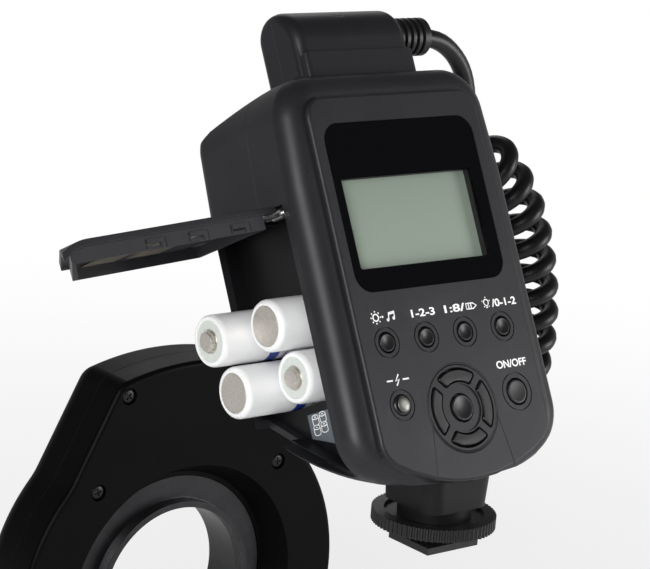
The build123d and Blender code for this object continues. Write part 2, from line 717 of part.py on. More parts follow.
# Door inner plate: a shallow tray with catches along its two long walls
carrier_face = -BODY_HALF + SKIN_THICK
carrier_top = PIN_V - CARRIER_START
catch_face = carrier_face + CATCH_SINK
arm_slot = ARM_THICK + 2 * FIT_GAP
carrier_sides = [-BAY_NEAR - CARRIER_NEAR_INSET, -BAY_FAR + CARRIER_FAR_INSET]
with BuildPart() as door_inner_plate:
    with BuildSketch(SIDE.offset(-BODY_HALF)):
        add(door_outline(CARRIER_NEAR_INSET, CARRIER_FAR_INSET, CARRIER_LOW_INSET, carrier_top))
    extrude(amount=SKIN_THICK + CARRIER_DEPTH)
    add(body_form(SKIN_THICK), mode=Mode.INTERSECT)
    with BuildSketch(SIDE.offset(carrier_face + CARRIER_FLOOR)):
        add(
            door_outline(
                CARRIER_NEAR_INSET + CARRIER_WALL,
                CARRIER_FAR_INSET + CARRIER_WALL,
                CARRIER_LOW_INSET + CARRIER_WALL + CARRIER_FLOOR,
                carrier_top - CARRIER_FLOOR,
            )
        )
    extrude(amount=CARRIER_DEPTH, mode=Mode.SUBTRACT)
    for w in (ARM_NEAR, ARM_FAR):
        with BuildSketch(SIDE.offset(carrier_face)):
            with Locations((PIN_V - ARM_REACH - FIT_GAP, -w)):
                Rectangle(ARM_REACH, ARM_WIDTH + 2 * FIT_GAP, align=(Align.MIN, Align.CENTER))
        extrude(amount=arm_slot, mode=Mode.SUBTRACT)
    for side, w in zip((1, -1), carrier_sides):
        for i in range(CATCH_COUNT):
            with BuildSketch(face_at(-w)):
                with Locations((catch_face, carrier_top - CATCH_LENGTH - i * CATCH_PITCH)):
                    Rectangle(CATCH_HEIGHT, CATCH_POST, align=(Align.MIN, Align.MAX))
                    Rectangle(CATCH_POST, CATCH_LENGTH, align=(Align.MIN, Align.MAX))
            extrude(amount=side * CATCH_PROUD)
door_inner_plate.part = opened(door_inner_plate.part)
door_inner_plate.part.label = "door_inner_plate"
export_step(door_inner_plate.part, "parts/door_inner_plate.step")

# Door contacts: one strip for each row of batteries
with BuildPart() as door_contacts:
    with BuildSketch(SIDE.offset(carrier_face + CARRIER_FLOOR)):
        for v in cell_rows:
            with Locations((v, cell_middle[1])):
                Rectangle(2 * PLATE_RADIUS, CELL_PITCH + PLATE_RADIUS)
    extrude(amount=PLATE_THICK)
door_contacts.part = opened(door_contacts.part)
door_contacts.part.label = "door_contacts"
export_step(door_contacts.part, "parts/door_contacts.step")

# Hinge arms: the door slides on them and they turn on the pin
with BuildPart() as door_hinge_arm:
    for w in (ARM_NEAR, ARM_FAR):
        with BuildSketch(face_at(w + ARM_WIDTH / 2)):
            with Locations((PIN_U, PIN_V)):
                Circle(KNUCKLE)
            with Locations((carrier_face + FIT_GAP, PIN_V)):
                Rectangle(ARM_THICK, ARM_REACH, align=(Align.MIN, Align.MAX))
            with Locations((PIN_U, PIN_V)):
                Circle(PIN_RADIUS + SHAFT_GAP, mode=Mode.SUBTRACT)
        extrude(amount=ARM_WIDTH)
door_hinge_arm.part = door_hinge_arm.part.rotate(PIN_AXIS, -OPEN_ANGLE)
door_hinge_arm.part.label = "door_hinge_arm"
export_step(door_hinge_arm.part, "parts/door_hinge_arm.step")

# Hinge pin, held in the bay's lugs
with BuildPart() as door_hinge_pin:
    with BuildSketch(face_at(BAY_FAR - CARRIER_NEAR_INSET)):
        with Locations((PIN_U, PIN_V)):
            Circle(PIN_RADIUS)
    extrude(amount=BAY_FAR - BAY_NEAR - 2 * CARRIER_NEAR_INSET)
door_hinge_pin.part.label = "door_hinge_pin"
export_step(door_hinge_pin.part, "parts/door_hinge_pin.step")

# Display window, gasket and module
window_middle = (WINDOW_LOW + WINDOW_HIGH) / 2
window_high = WINDOW_HIGH - WINDOW_LOW
display_middle = ((DISPLAY_LEFT + DISPLAY_RIGHT) / 2, (DISPLAY_LOW + DISPLAY_HIGH) / 2)
display_size = (DISPLAY_RIGHT - DISPLAY_LEFT, DISPLAY_HIGH - DISPLAY_LOW)
window_back = WINDOW_SINK + WINDOW_THICK
with BuildPart() as lcd_window:
    with BuildSketch(face_at(window_back)):
        with Locations((0, window_middle)):
            RectangleRounded(
                2 * (WINDOW_HALF - FIT_GAP), window_high - 2 * FIT_GAP, WINDOW_ROUND - FIT_GAP
            )
    extrude(amount=WINDOW_THICK)
lcd_window.part.label = "lcd_window"
export_step(lcd_window.part, "parts/lcd_window.step")

with BuildPart() as display_gasket:
    with BuildSketch(face_at(window_back)):
        with Locations((0, window_middle)):
            RectangleRounded(
                2 * (WINDOW_HALF - WINDOW_LEDGE - FIT_GAP),
                window_high - 2 * (WINDOW_LEDGE + FIT_GAP),
                WINDOW_ROUND - WINDOW_LEDGE - FIT_GAP,
            )
        with Locations(display_middle):
            Rectangle(*display_size, mode=Mode.SUBTRACT)
    extrude(amount=window_back - DISPLAY_SINK)
display_gasket.part.label = "display_gasket"
export_step(display_gasket.part, "parts/display_gasket.step")

with BuildPart() as lcd_module:
    with BuildSketch(face_at(DISPLAY_SINK)):
        with Locations(display_middle):
            Rectangle(display_size[0] + 2 * DISPLAY_MARGIN, display_size[1] + 2 * DISPLAY_MARGIN)
    extrude(amount=DISPLAY_SINK - BOARD_FACE)
lcd_module.part.label = "lcd_module"
export_step(lcd_module.part, "parts/lcd_module.step")

# Key board behind the display and the keys
KEY_BOARD_SIDE = 3.0
KEY_BOARD_LOW_ROOM = 8.0
KEY_BOARD_HIGH_ROOM = 6.0
board_low = PLATEAU_BOTTOM + KEY_BOARD_LOW_ROOM
board_high = PLATEAU_TOP - KEY_BOARD_HIGH_ROOM
with BuildPart() as key_board:
    with BuildSketch(face_at(BOARD_FACE)):
        with Locations((0, (board_low + board_high) / 2)):
            Rectangle(2 * (PLATEAU_HALF - KEY_BOARD_SIDE), board_high - board_low)
    extrude(amount=-BOARD_THICK)
key_board.part.label = "key_board"
export_step(key_board.part, "parts/key_board.step")


# Keys: a crowned cap, a flange behind the wall and a stem that reaches the board
flange_face = panel_back + RUN_GAP
stem_end = BOARD_FACE - KEY_TRAVEL - FIT_GAP


def make_key(name, cap, flange, face, stem):
    """One key from its cap and flange outlines, the flange's face depth and the stem's place."""
    with BuildPart() as key:
        with BuildSketch(face_at(face + KEY_FLANGE_THICK)):
            add(cap)
        extrude(amount=face + KEY_FLANGE_THICK + KEY_RISE)
        chamfer(key.faces().sort_by(Axis((0, 0, 0), tuple(OUT)))[-1].edges(), KEY_RISE)
        with BuildSketch(face_at(face + KEY_FLANGE_THICK)):
            add(flange)
        extrude(amount=KEY_FLANGE_THICK)
        with BuildSketch(face_at(stem_end)):
            with Locations(stem):
                Circle(KEY_STEM)
        extrude(amount=stem_end - face)
    key.part.label = name
    export_step(key.part, f"parts/{name}.step")


def disc(u, v, radius):
    """A round outline on the panel."""
    with BuildSketch() as outline:
        with Locations((u, v)):
            Circle(radius)
    return outline.sketch


for name, (u, v, radius) in zip(key_names, key_places):
    make_key(name, disc(u, v, radius), disc(u, v, radius + KEY_FLANGE), flange_face, (u, v))


def arc_outline(turn, grow):
    """One arrow key of the ring: a quarter between two spokes, turned to its place and grown."""
    with BuildSketch() as outline:
        with BuildLine():
            apex = ARC_SPOKE / math.sqrt(2)
            Polyline(
                (apex, 0), (PAD_RADIUS + apex, PAD_RADIUS), (PAD_RADIUS + apex, -PAD_RADIUS), close=True
            )
        make_face()
        Circle(ARC_KEY_OUT, mode=Mode.INTERSECT)
        Circle(ARC_KEY_IN, mode=Mode.SUBTRACT)
        fillet(outline.vertices(), ARC_ROUND)
        if grow:
            offset(amount=grow, mode=Mode.REPLACE)
    return outline.sketch.rotate(Axis.Z, turn)


arc_turns = {"right_key": 0, "up_key": 90, "left_key": 180, "down_key": 270}
pad_face = panel_back + PAD_FLANGE_THICK + RUN_GAP
arc_middle = (ARC_KEY_OUT + ARC_KEY_IN) / 2
for name, turn in arc_turns.items():
    angle = math.radians(turn)
    stem = (arc_middle * math.cos(angle), arc_middle * math.sin(angle))
    make_key(name, arc_outline(turn, 0), arc_outline(turn, KEY_FLANGE), pad_face, stem)
make_key("set_key", disc(0, 0, CENTRE_KEY), disc(0, 0, CENTRE_KEY + KEY_FLANGE), pad_face, (0, 0))

# Pad bezel: a disc in the panel's large hole with openings for the arrow keys and the centre key
with BuildPart() as pad_bezel:
    with BuildSketch(face_at(panel_back)):
        Circle(PAD_RADIUS - FIT_GAP)
    extrude(amount=panel_back)
    with BuildSketch(face_at(panel_back)):
        Circle(PAD_RADIUS + PAD_FLANGE)
    extrude(amount=-PAD_FLANGE_THICK)
    with BuildSketch(FACE):
        for turn in arc_turns.values():
            add(arc_outline(turn, RUN_GAP))
        Circle(CENTRE_KEY + RUN_GAP)
    extrude(amount=-panel_back - OVERRUN, mode=Mode.SUBTRACT)
    with BuildSketch(FACE):
        Circle(CENTRE_DISH)
        Circle(CENTRE_KEY + RUN_GAP, mode=Mode.SUBTRACT)
    extrude(amount=-CENTRE_DISH_DEPTH, mode=Mode.SUBTRACT)
pad_bezel.part.label = "pad_bezel"
export_step(pad_bezel.part, "parts/pad_bezel.step")

# Cord block on top of the body: a rounded box split into two halves, hollow, standing on the casing
BLOCK_SEAM = 19.7
BLOCK_FOOT = 88.0
RELIEF_W = 18.5
relief_place = (RELIEF_HEIGHT, -RELIEF_W)


def block_form(inset):
    """The cord block's form, or its hollow when inset."""
    with BuildPart() as form:
        with BuildSketch(SIDE.offset(-BLOCK_HALF + inset)) as profile:
            with BuildLine():
                Polyline(
                    (BLOCK_FOOT, -BLOCK_NEAR),
                    (BLOCK_TOP, -BLOCK_NEAR),
                    (BLOCK_TOP, -BLOCK_FAR),
                    (BLOCK_FOOT, -BLOCK_FAR),
                    close=True,
                )
            make_face()
            fillet(profile.vertices().group_by(Axis.X)[-1], BLOCK_ROUND)
            if inset:
                offset(amount=-inset, mode=Mode.REPLACE)
        extrude(amount=2 * (BLOCK_HALF - inset))
        if not inset:
            ends = form.faces().sort_by(Axis.X)
            fillet(ends[0].edges() + ends[-1].edges(), BLOCK_END_ROUND)
            with BuildSketch(SIDE.offset(-BLOCK_HALF)):
                with Locations((BLOCK_LEDGE, -BLOCK_NEAR)):
                    Rectangle(BLOCK_TOP, BLOCK_STEP, align=(Align.MIN, Align.MAX))
            extrude(amount=2 * BLOCK_HALF, mode=Mode.SUBTRACT)
        add(body_outer, mode=Mode.SUBTRACT)
        with BuildSketch(SIDE):
            with Locations(relief_place):
                Circle(RELIEF_NECK)
        extrude(amount=BLOCK_HALF, mode=Mode.SUBTRACT)
        with BuildSketch(SIDE):
            with Locations((PLUG_HEIGHT, -BLOCK_SEAM)):
                Circle(PLUG_RADIUS)
        extrude(amount=-BLOCK_HALF, mode=Mode.SUBTRACT)
    return form.part


block_outer = block_form(0)
block_inner = block_form(BLOCK_WALL)
for name, side in (("cord_block_front", Keep.TOP), ("cord_block_rear", Keep.BOTTOM)):
    with BuildPart() as block_half:
        add(block_outer)
        add(block_inner, mode=Mode.SUBTRACT)
        split(bisect_by=face_at(BLOCK_SEAM), keep=side)
    block_half.part.label = name
    export_step(block_half.part, f"parts/{name}.step")

# Plug in the block's left end
with BuildPart() as block_plug:
    with BuildSketch(SIDE.offset(-BLOCK_HALF)):
        with Locations((PLUG_HEIGHT, -BLOCK_SEAM)):
            Circle(PLUG_RADIUS)
    extrude(amount=PLUG_THICK)
block_plug.part.label = "block_plug"
export_step(block_plug.part, "parts/block_plug.step")

# Ribbed strain relief on the block's right end
RELIEF_INSIDE = 5.0
RELIEF_RIBS = 4
relief_end = BLOCK_HALF + RELIEF_COLLAR + RELIEF_RIBS * RELIEF_RIB_PITCH + RELIEF_RIB_WIDTH
with BuildPart() as strain_relief:
    with BuildSketch(SIDE.offset(BLOCK_HALF - RELIEF_INSIDE)):
        with Locations(relief_place):
            Circle(RELIEF_NECK)
    extrude(amount=RELIEF_INSIDE)
    with BuildSketch(SIDE.offset(BLOCK_HALF)):
        with Locations(relief_place):
            Circle(RELIEF_NECK)
    extrude(amount=relief_end - BLOCK_HALF)
    with BuildSketch(SIDE.offset(BLOCK_HALF)):
        with Locations(relief_place):
            Circle(RELIEF_RADIUS)
    extrude(amount=RELIEF_COLLAR)
    for i in range(RELIEF_RIBS):
        start = BLOCK_HALF + RELIEF_COLLAR + RELIEF_RIB_PITCH * (i + 1) - RELIEF_RIB_WIDTH
        with BuildSketch(SIDE.offset(start)):
            with Locations(relief_place):
                Circle(RELIEF_RADIUS)
        extrude(amount=RELIEF_RIB_WIDTH)
    with BuildSketch(SIDE.offset(relief_end - RELIEF_RIB_WIDTH)):
        with Locations(relief_place):
            Circle(RELIEF_RADIUS)
    extrude(amount=RELIEF_RIB_WIDTH)
    with BuildSketch(SIDE.offset(LEAD_ROUTE[0][0])):
        with Locations(relief_place):
            Circle(CORD / 2)
    extrude(amount=relief_end, mode=Mode.SUBTRACT)
strain_relief.part.label = "strain_relief"
export_step(strain_relief.part, "parts/strain_relief.step")

# Neck: a block under the body that ends in a round collar and a stem
NECK_HIGH = 34.0
COLLAR_LOW = 8.2
with BuildPart() as neck:
    with BuildSketch(Plane.XY.offset(NECK_LOW)) as low:
        RectangleRounded(2 * NECK_LOW_HALF, 2 * NECK_DEPTH_HALF, NECK_ROUND)
    with BuildSketch(Plane.XY.offset(NECK_HIGH)) as high:
        RectangleRounded(2 * NECK_TOP_HALF, 2 * NECK_DEPTH_HALF, NECK_ROUND)
    loft()
    add(body_outer, mode=Mode.SUBTRACT)
    with BuildSketch(Plane.XY.offset(COLLAR_LOW)):
        Circle(COLLAR_RADIUS)
    extrude(amount=NECK_LOW - COLLAR_LOW)
    with BuildSketch(Plane.XY.offset(FOOT_THICK)):
        Circle(STEM_RADIUS)
    extrude(amount=NECK_LOW - FOOT_THICK)
    with BuildSketch(Plane.XY.offset(FOOT_THICK)):
        with Locations((0, LOCK_PIN_Y)):
            Circle(LOCK_PIN + SHAFT_GAP)
    extrude(amount=LOCK_PIN_LENGTH, mode=Mode.SUBTRACT)
neck.part = neck.part.solids().sort_by(Axis.Z)[0]
neck.part.label = "neck"
export_step(neck.part, "parts/neck.step")


def contact_outline():
    """The foot's contacts: one in the middle and small ones on an arc."""
    with BuildSketch() as outline:
        Circle(CONTACT_RADIUS)
        for angle in CONTACT_ANGLES:
            turn = math.radians(angle)
            with Locations((CONTACT_CIRCLE * math.cos(turn), CONTACT_CIRCLE * math.sin(turn))):
                Circle(CONTACT_SMALL)
    return outline.sketch


# Hot-shoe foot, clamp washer, lock wheel, lock pin and contacts
with BuildPart() as hot_shoe_foot:
    with BuildSketch():
        Rectangle(FOOT_WIDTH, FOOT_LENGTH)
    extrude(amount=FOOT_THICK)
    chamfer(hot_shoe_foot.edges().filter_by(Axis.Z).group_by(Axis.Y)[-1], FOOT_CHAMFER)
    with BuildSketch():
        with Locations((0, LOCK_PIN_Y)):
            Circle(LOCK_PIN + SHAFT_GAP)
        add(contact_outline())
    extrude(amount=FOOT_THICK, mode=Mode.SUBTRACT)
hot_shoe_foot.part.label = "hot_shoe_foot"
export_step(hot_shoe_foot.part, "parts/hot_shoe_foot.step")

with BuildPart() as shoe_contacts:
    with BuildSketch():
        add(contact_outline())
    extrude(amount=FOOT_THICK)
shoe_contacts.part.label = "shoe_contacts"
export_step(shoe_contacts.part, "parts/shoe_contacts.step")

washer_high = WHEEL_LOW - FIT_GAP
with BuildPart() as clamp_washer:
    with BuildSketch(Plane.XY.offset(washer_high - WASHER_THICK)):
        Circle(WASHER_RADIUS)
        Circle(STEM_RADIUS + SHAFT_GAP, mode=Mode.SUBTRACT)
    extrude(amount=WASHER_THICK)
clamp_washer.part.label = "clamp_washer"
export_step(clamp_washer.part, "parts/clamp_washer.step")

with BuildPart() as lock_wheel:
    with BuildSketch(Plane.XY.offset(WHEEL_LOW)):
        Circle(WHEEL_RADIUS)
        with PolarLocations(WHEEL_RADIUS, WHEEL_TEETH):
            Circle(WHEEL_TOOTH, mode=Mode.SUBTRACT)
        Circle(STEM_RADIUS + SHAFT_GAP, mode=Mode.SUBTRACT)
    extrude(amount=WHEEL_THICK)
    with BuildSketch(Plane.XY.offset(WHEEL_LOW + WHEEL_THICK)):
        Circle(WHEEL_DISH)
    extrude(amount=-WHEEL_DISH_DEPTH, mode=Mode.SUBTRACT)
lock_wheel.part.label = "lock_wheel"
export_step(lock_wheel.part, "parts/lock_wheel.step")

with BuildPart() as lock_pin:
    with BuildSketch(Plane.XY.offset(LOCK_PIN_SINK)):
        with Locations((0, LOCK_PIN_Y)):
            Circle(LOCK_PIN)
    extrude(amount=LOCK_PIN_LENGTH)
lock_pin.part.label = "lock_pin"
export_step(lock_pin.part, "parts/lock_pin.step")

# Ring head outline, x right and z up about the lens axis, depths from the rear face
screw_places = [(side * HEAD_RADIUS * x, HEAD_RADIUS * z) for x, z in HEAD_SCREW_SHARES for side in (1, -1)]
HEAD = Plane(origin=(0, HEAD_REAR, HEAD_AXIS), x_dir=(1, 0, 0), z_dir=(0, -1, 0))


def head_at(depth):
    """A plane across the ring head at a depth from its rear face."""
    return HEAD.offset(-depth)


def head_outline(inset):
    """The ring head's outline: a circle with a crown on top and a cut bottom."""
    with BuildSketch() as outline:
        Circle(HEAD_RADIUS)
        with BuildLine():
            Polyline(
                (-CROWN_HALF, CROWN_SHOULDER),
                (-CROWN_BASE_HALF, CROWN_BASE),
                (CROWN_BASE_HALF, CROWN_BASE),
                (CROWN_HALF, CROWN_SHOULDER),
            )
            ThreePointArc((CROWN_HALF, CROWN_SHOULDER), (0, CROWN_TOP), (-CROWN_HALF, CROWN_SHOULDER))
        make_face()
        with Locations((0, HEAD_BOTTOM)):
            Rectangle(2 * HEAD_RADIUS, HEAD_RADIUS, align=(Align.CENTER, Align.MAX), mode=Mode.SUBTRACT)
        rows = outline.vertices().sort_by(Axis.Y)
        fillet(rows[:2], HEAD_BOTTOM_ROUND)
        corners = outline.vertices().sort_by(Axis.Y)
        fillet(corners[-2:], CROWN_ROUND)
        blends = [v for v in outline.vertices() if CROWN_BASE < v.Y < CROWN_SHOULDER - CROWN_BLEND]
        fillet(blends, CROWN_BLEND)
        if inset:
            offset(amount=-inset, mode=Mode.REPLACE)
    return outline.sketch


def head_revolve_profile(points):
    """A closed profile of (radius, depth) points, turned about the lens axis."""
    with BuildPart() as ring:
        with BuildSketch(Plane(origin=HEAD.origin, x_dir=(1, 0, 0), z_dir=(0, 0, 1))):
            with BuildLine():
                Polyline(*points, close=True)
            make_face()
        revolve(axis=Axis(HEAD.origin, (0, 1, 0)))
    return ring.part



# Gland on the head's right flank, where the cord goes in
gland_dir = Vector(math.cos(math.radians(GLAND_TILT)), 0, math.sin(math.radians(GLAND_TILT)))
gland_base = Vector(GLAND_BASE_X, HEAD_REAR + GLAND_DEPTH, HEAD_AXIS + GLAND_BASE_Z)
GLAND = Plane(origin=gland_base, x_dir=(0, 1, 0), z_dir=gland_dir)
with BuildPart() as gland_stem:
    with BuildSketch(GLAND.offset(-GLAND_INSIDE)):
        Circle(GLAND_STEM)
    extrude(amount=GLAND_INSIDE + OVERRUN)


def boss_outline():
    """Screw bosses, each with a rib out to the head's wall."""
    with BuildSketch() as outline:
        for x, z in screw_places:
            with Locations((x, z)):
                Circle(HEAD_BOSS)
            with Locations(Location((x, z, 0), (0, 0, math.degrees(math.atan2(z, x))))):
                Rectangle(HEAD_BOSS_RIB, HEAD_BOSS, align=(Align.MIN, Align.CENTER))
        add(head_outline(HEAD_WALL / 2), mode=Mode.INTERSECT)
    return outline.sketch


# Head rear cover
ring_radius = HEAD_BORE - RUN_GAP
with BuildPart() as head_rear_cover:
    with BuildSketch(HEAD):
        add(head_outline(0))
    extrude(amount=-HEAD_SEAM)
    fillet(head_rear_cover.faces().sort_by(Axis.Y)[0].edges(), HEAD_REAR_ROUND)
    with BuildSketch(head_at(HEAD_WALL)):
        add(head_outline(HEAD_WALL))
    extrude(amount=-HEAD_SEAM, mode=Mode.SUBTRACT)
    with BuildSketch(head_at(HEAD_WALL)):
        add(boss_outline())
    extrude(amount=HEAD_WALL - HEAD_SEAM)
    add(
        head_revolve_profile(
            [
                (HEAD_BORE, THROAT_DEPTH),
                (REAR_THROAT + HEAD_WALL, 0),
                (REAR_MOUTH + HEAD_WALL, 0),
                (REAR_MOUTH + HEAD_WALL, HEAD_WALL),
                (REAR_THROAT + HEAD_WALL, THROAT_DEPTH),
                (REAR_THROAT + HEAD_WALL, HEAD_SEAM),
                (HEAD_BORE, HEAD_SEAM),
            ]
        )
    )
    add(
        head_revolve_profile(
            [
                (0, -OVERRUN),
                (REAR_MOUTH, -OVERRUN),
                (REAR_MOUTH, 0),
                (REAR_THROAT, THROAT_DEPTH),
                (HEAD_BORE, THROAT_DEPTH),
                (HEAD_BORE, HEAD_SEAM + OVERRUN),
                (0, HEAD_SEAM + OVERRUN),
            ]
        ),
        mode=Mode.SUBTRACT,
    )
    with BuildSketch(HEAD):
        with Locations(*screw_places):
            Circle(HEAD_SCREW_WELL)
    extrude(amount=-HEAD_SCREW_SINK - HEAD_SCREW_HEAD, mode=Mode.SUBTRACT)
    with BuildSketch(HEAD):
        with Locations(*screw_places):
            Circle(HEAD_SCREW_SHAFT)
    extrude(amount=-HEAD_SEAM, mode=Mode.SUBTRACT)
    add(gland_stem.part, mode=Mode.SUBTRACT)
head_rear_cover.part.label = "head_rear_cover"
export_step(head_rear_cover.part, "parts/head_rear_cover.step")


def glass_outline(side, grow):
    """A flash window's outline on the head's right (side 1) or left (side -1)."""
    span = math.radians(GLASS_SPAN)
    with BuildSketch() as outline:
        Circle(GLASS_OUT)
        Circle(GLASS_IN, mode=Mode.SUBTRACT)
        with BuildLine():
            far = 2 * GLASS_OUT
            Polyline(
                (0, 0),
                (side * far * math.cos(span), far * math.sin(span)),
                (side * far, 0),
                (side * far * math.cos(span), -far * math.sin(span)),
                close=True,
            )
        make_face(mode=Mode.INTERSECT)
        fillet(outline.vertices(), GLASS_ROUND)
        if grow:
            offset(amount=grow, mode=Mode.REPLACE)
    return outline.sketch


lamp_places = [(side * LAMP_TOP_X, LAMP_TOP_Z) for side in (1, -1)]
lamp_places += [(side * LAMP_LOW_X, LAMP_LOW_Z) for side in (1, -1)]
BUTTON_PLANE = Plane(origin=(0, HEAD_REAR + BUTTON_DEPTH, HEAD_AXIS + BUTTON_Z), x_dir=(0, 1, 0), z_dir=(1, 0, 0))
yoke_depths = {1: YOKE_RIGHT_DEPTH, -1: YOKE_LEFT_DEPTH}
latch_side = {1: Align.MAX, -1: Align.MIN}
face_depth = HEAD_DEPTH - HEAD_WALL

# Head front cover: its hollow first
with BuildPart() as head_hollow:
    with BuildSketch(head_at(HEAD_SEAM)):
        add(head_outline(HEAD_WALL))
    extrude(amount=HEAD_SEAM - face_depth)
    fillet(head_hollow.faces().sort_by(Axis.Y)[-1].edges(), HEAD_FRONT_ROUND - HEAD_WALL)
with BuildPart() as head_front_cover:
    with BuildSketch(head_at(HEAD_SEAM)):
        add(head_outline(0))
    extrude(amount=HEAD_SEAM - HEAD_DEPTH)
    fillet(head_front_cover.faces().sort_by(Axis.Y)[-1].edges(), HEAD_FRONT_ROUND)
    add(head_hollow.part, mode=Mode.SUBTRACT)
    with BuildSketch(head_at(HEAD_SEAM)):
        add(boss_outline())
    extrude(amount=HEAD_SEAM - HEAD_BOSS_DEPTH)
    with BuildSketch(head_at(HEAD_SEAM)):
        Circle(HEAD_BORE + HEAD_WALL)
    extrude(amount=HEAD_SEAM - HEAD_DEPTH)
    with BuildSketch(head_at(HEAD_SEAM)):
        Circle(HEAD_BORE)
    extrude(amount=HEAD_SEAM - HEAD_DEPTH + FRONT_LIP, mode=Mode.SUBTRACT)
    with BuildSketch(head_at(HEAD_SEAM)):
        Circle(FRONT_MOUTH)
    extrude(amount=-HEAD_DEPTH, mode=Mode.SUBTRACT)
    with BuildSketch(head_at(HEAD_DEPTH)):
        for side in (1, -1):
            add(glass_outline(side, FIT_GAP))
        with Locations(*lamp_places):
            Circle(LAMP_RADIUS)
    extrude(amount=HEAD_WALL, mode=Mode.SUBTRACT)
    with BuildSketch(head_at(HEAD_SEAM)):
        with Locations(*screw_places):
            Circle(HEAD_SCREW_SHAFT)
    extrude(amount=HEAD_SEAM - HEAD_BOSS_DEPTH, mode=Mode.SUBTRACT)
    for side in (1, -1):
        with BuildSketch(BUTTON_PLANE.offset(side * YOKE_OUT)):
            Rectangle(BUTTON_WIDTH + 2 * RUN_GAP, BUTTON_LENGTH + 2 * RUN_GAP)
        extrude(amount=side * HEAD_RADIUS, mode=Mode.SUBTRACT)
        with BuildSketch(head_at(yoke_depths[side] - RUN_GAP)):
            with Locations((0, BUTTON_Z)):
                Rectangle(HEAD_RADIUS, LATCH_WIDTH + 2 * RUN_GAP, align=(latch_side[side], Align.CENTER))
            Circle(YOKE_OUT, mode=Mode.INTERSECT)
        extrude(amount=-YOKE_THICK - 2 * RUN_GAP, mode=Mode.SUBTRACT)
    add(gland_stem.part, mode=Mode.SUBTRACT)
head_front_cover.part.label = "head_front_cover"
export_step(head_front_cover.part, "parts/head_front_cover.step")

# Flash windows and reflectors, left and right
for side, word in ((1, "right"), (-1, "left")):
    with BuildPart() as flash_window:
        with BuildSketch(head_at(face_depth)):
            add(glass_outline(side, 0))
        extrude(amount=-HEAD_WALL - GLASS_RISE)
        fillet(flash_window.faces().sort_by(Axis.Y)[-1].edges(), GLASS_RISE / 2)
    flash_window.part.label = f"flash_window_{word}"
    export_step(flash_window.part, f"parts/flash_window_{word}.step")
    with BuildPart() as reflector:
        with BuildSketch(head_at(face_depth)):
            add(glass_outline(side, 0))
        extrude(amount=REFLECTOR_DEPTH)
        with BuildSketch(head_at(face_depth)):
            add(glass_outline(side, REFLECTOR_RIM))
        extrude(amount=REFLECTOR_THICK)
        with BuildSketch(head_at(face_depth)):
            add(glass_outline(side, -REFLECTOR_THICK))
        extrude(amount=REFLECTOR_DEPTH - REFLECTOR_THICK, mode=Mode.SUBTRACT)
    reflector.part.label = f"reflector_{word}"
    export_step(reflector.part, f"parts/reflector_{word}.step")

# Flash tubes: an arc of glass in each reflector
tube_depth = face_depth - REFLECTOR_DEPTH + REFLECTOR_THICK + TUBE_RADIUS
with BuildPart() as flash_tubes:
    for side in (1, -1):
        tube_x = Vector(side, 0, 0).rotate(Axis.Y, side * TUBE_SPAN)
        with BuildSketch(Plane(origin=HEAD.origin, x_dir=tube_x, z_dir=tube_x.cross(Vector(0, 1, 0)))):
            with Locations((TUBE_CIRCLE, tube_depth)):
                Circle(TUBE_RADIUS)
        revolve(axis=Axis(HEAD.origin, (0, -side, 0)), revolution_arc=2 * TUBE_SPAN)
flash_tubes.part.label = "flash_tubes"
export_step(flash_tubes.part, "parts/flash_tubes.step")

# Focusing lamps in the front face
with BuildPart() as focus_lamps:
    with BuildSketch(head_at(HEAD_DEPTH - LAMP_LENGTH)):
        with Locations(*lamp_places):
            Circle(LAMP_RADIUS)
    extrude(amount=-LAMP_LENGTH - KEY_RISE)
    chamfer(focus_lamps.edges().group_by(Axis.Y)[-1], KEY_RISE)
focus_lamps.part.label = "focus_lamps"
export_step(focus_lamps.part, "parts/focus_lamps.step")

# Head board in the crown
with BuildPart() as head_board:
    with BuildSketch(head_at(HEAD_WALL)):
        with Locations((0, (HEAD_BOARD_LOW + HEAD_BOARD_HIGH) / 2)):
            Rectangle(2 * HEAD_BOARD_HALF, HEAD_BOARD_HIGH - HEAD_BOARD_LOW)
    extrude(amount=-HEAD_BOARD_THICK)
head_board.part.label = "head_board"
export_step(head_board.part, "parts/head_board.step")

# Head screws
with BuildPart() as head_screws:
    with BuildSketch(head_at(HEAD_SCREW_SINK)):
        with Locations(*screw_places):
            Circle(HEAD_SCREW)
    extrude(amount=-HEAD_SCREW_HEAD)
    with BuildSketch(head_at(HEAD_SCREW_SINK)):
        with Locations(*screw_places):
            Circle(HEAD_SCREW_SHAFT)
    extrude(amount=-HEAD_SCREW_LENGTH)
head_screws.part.label = "head_screws"
export_step(head_screws.part, "parts/head_screws.step")

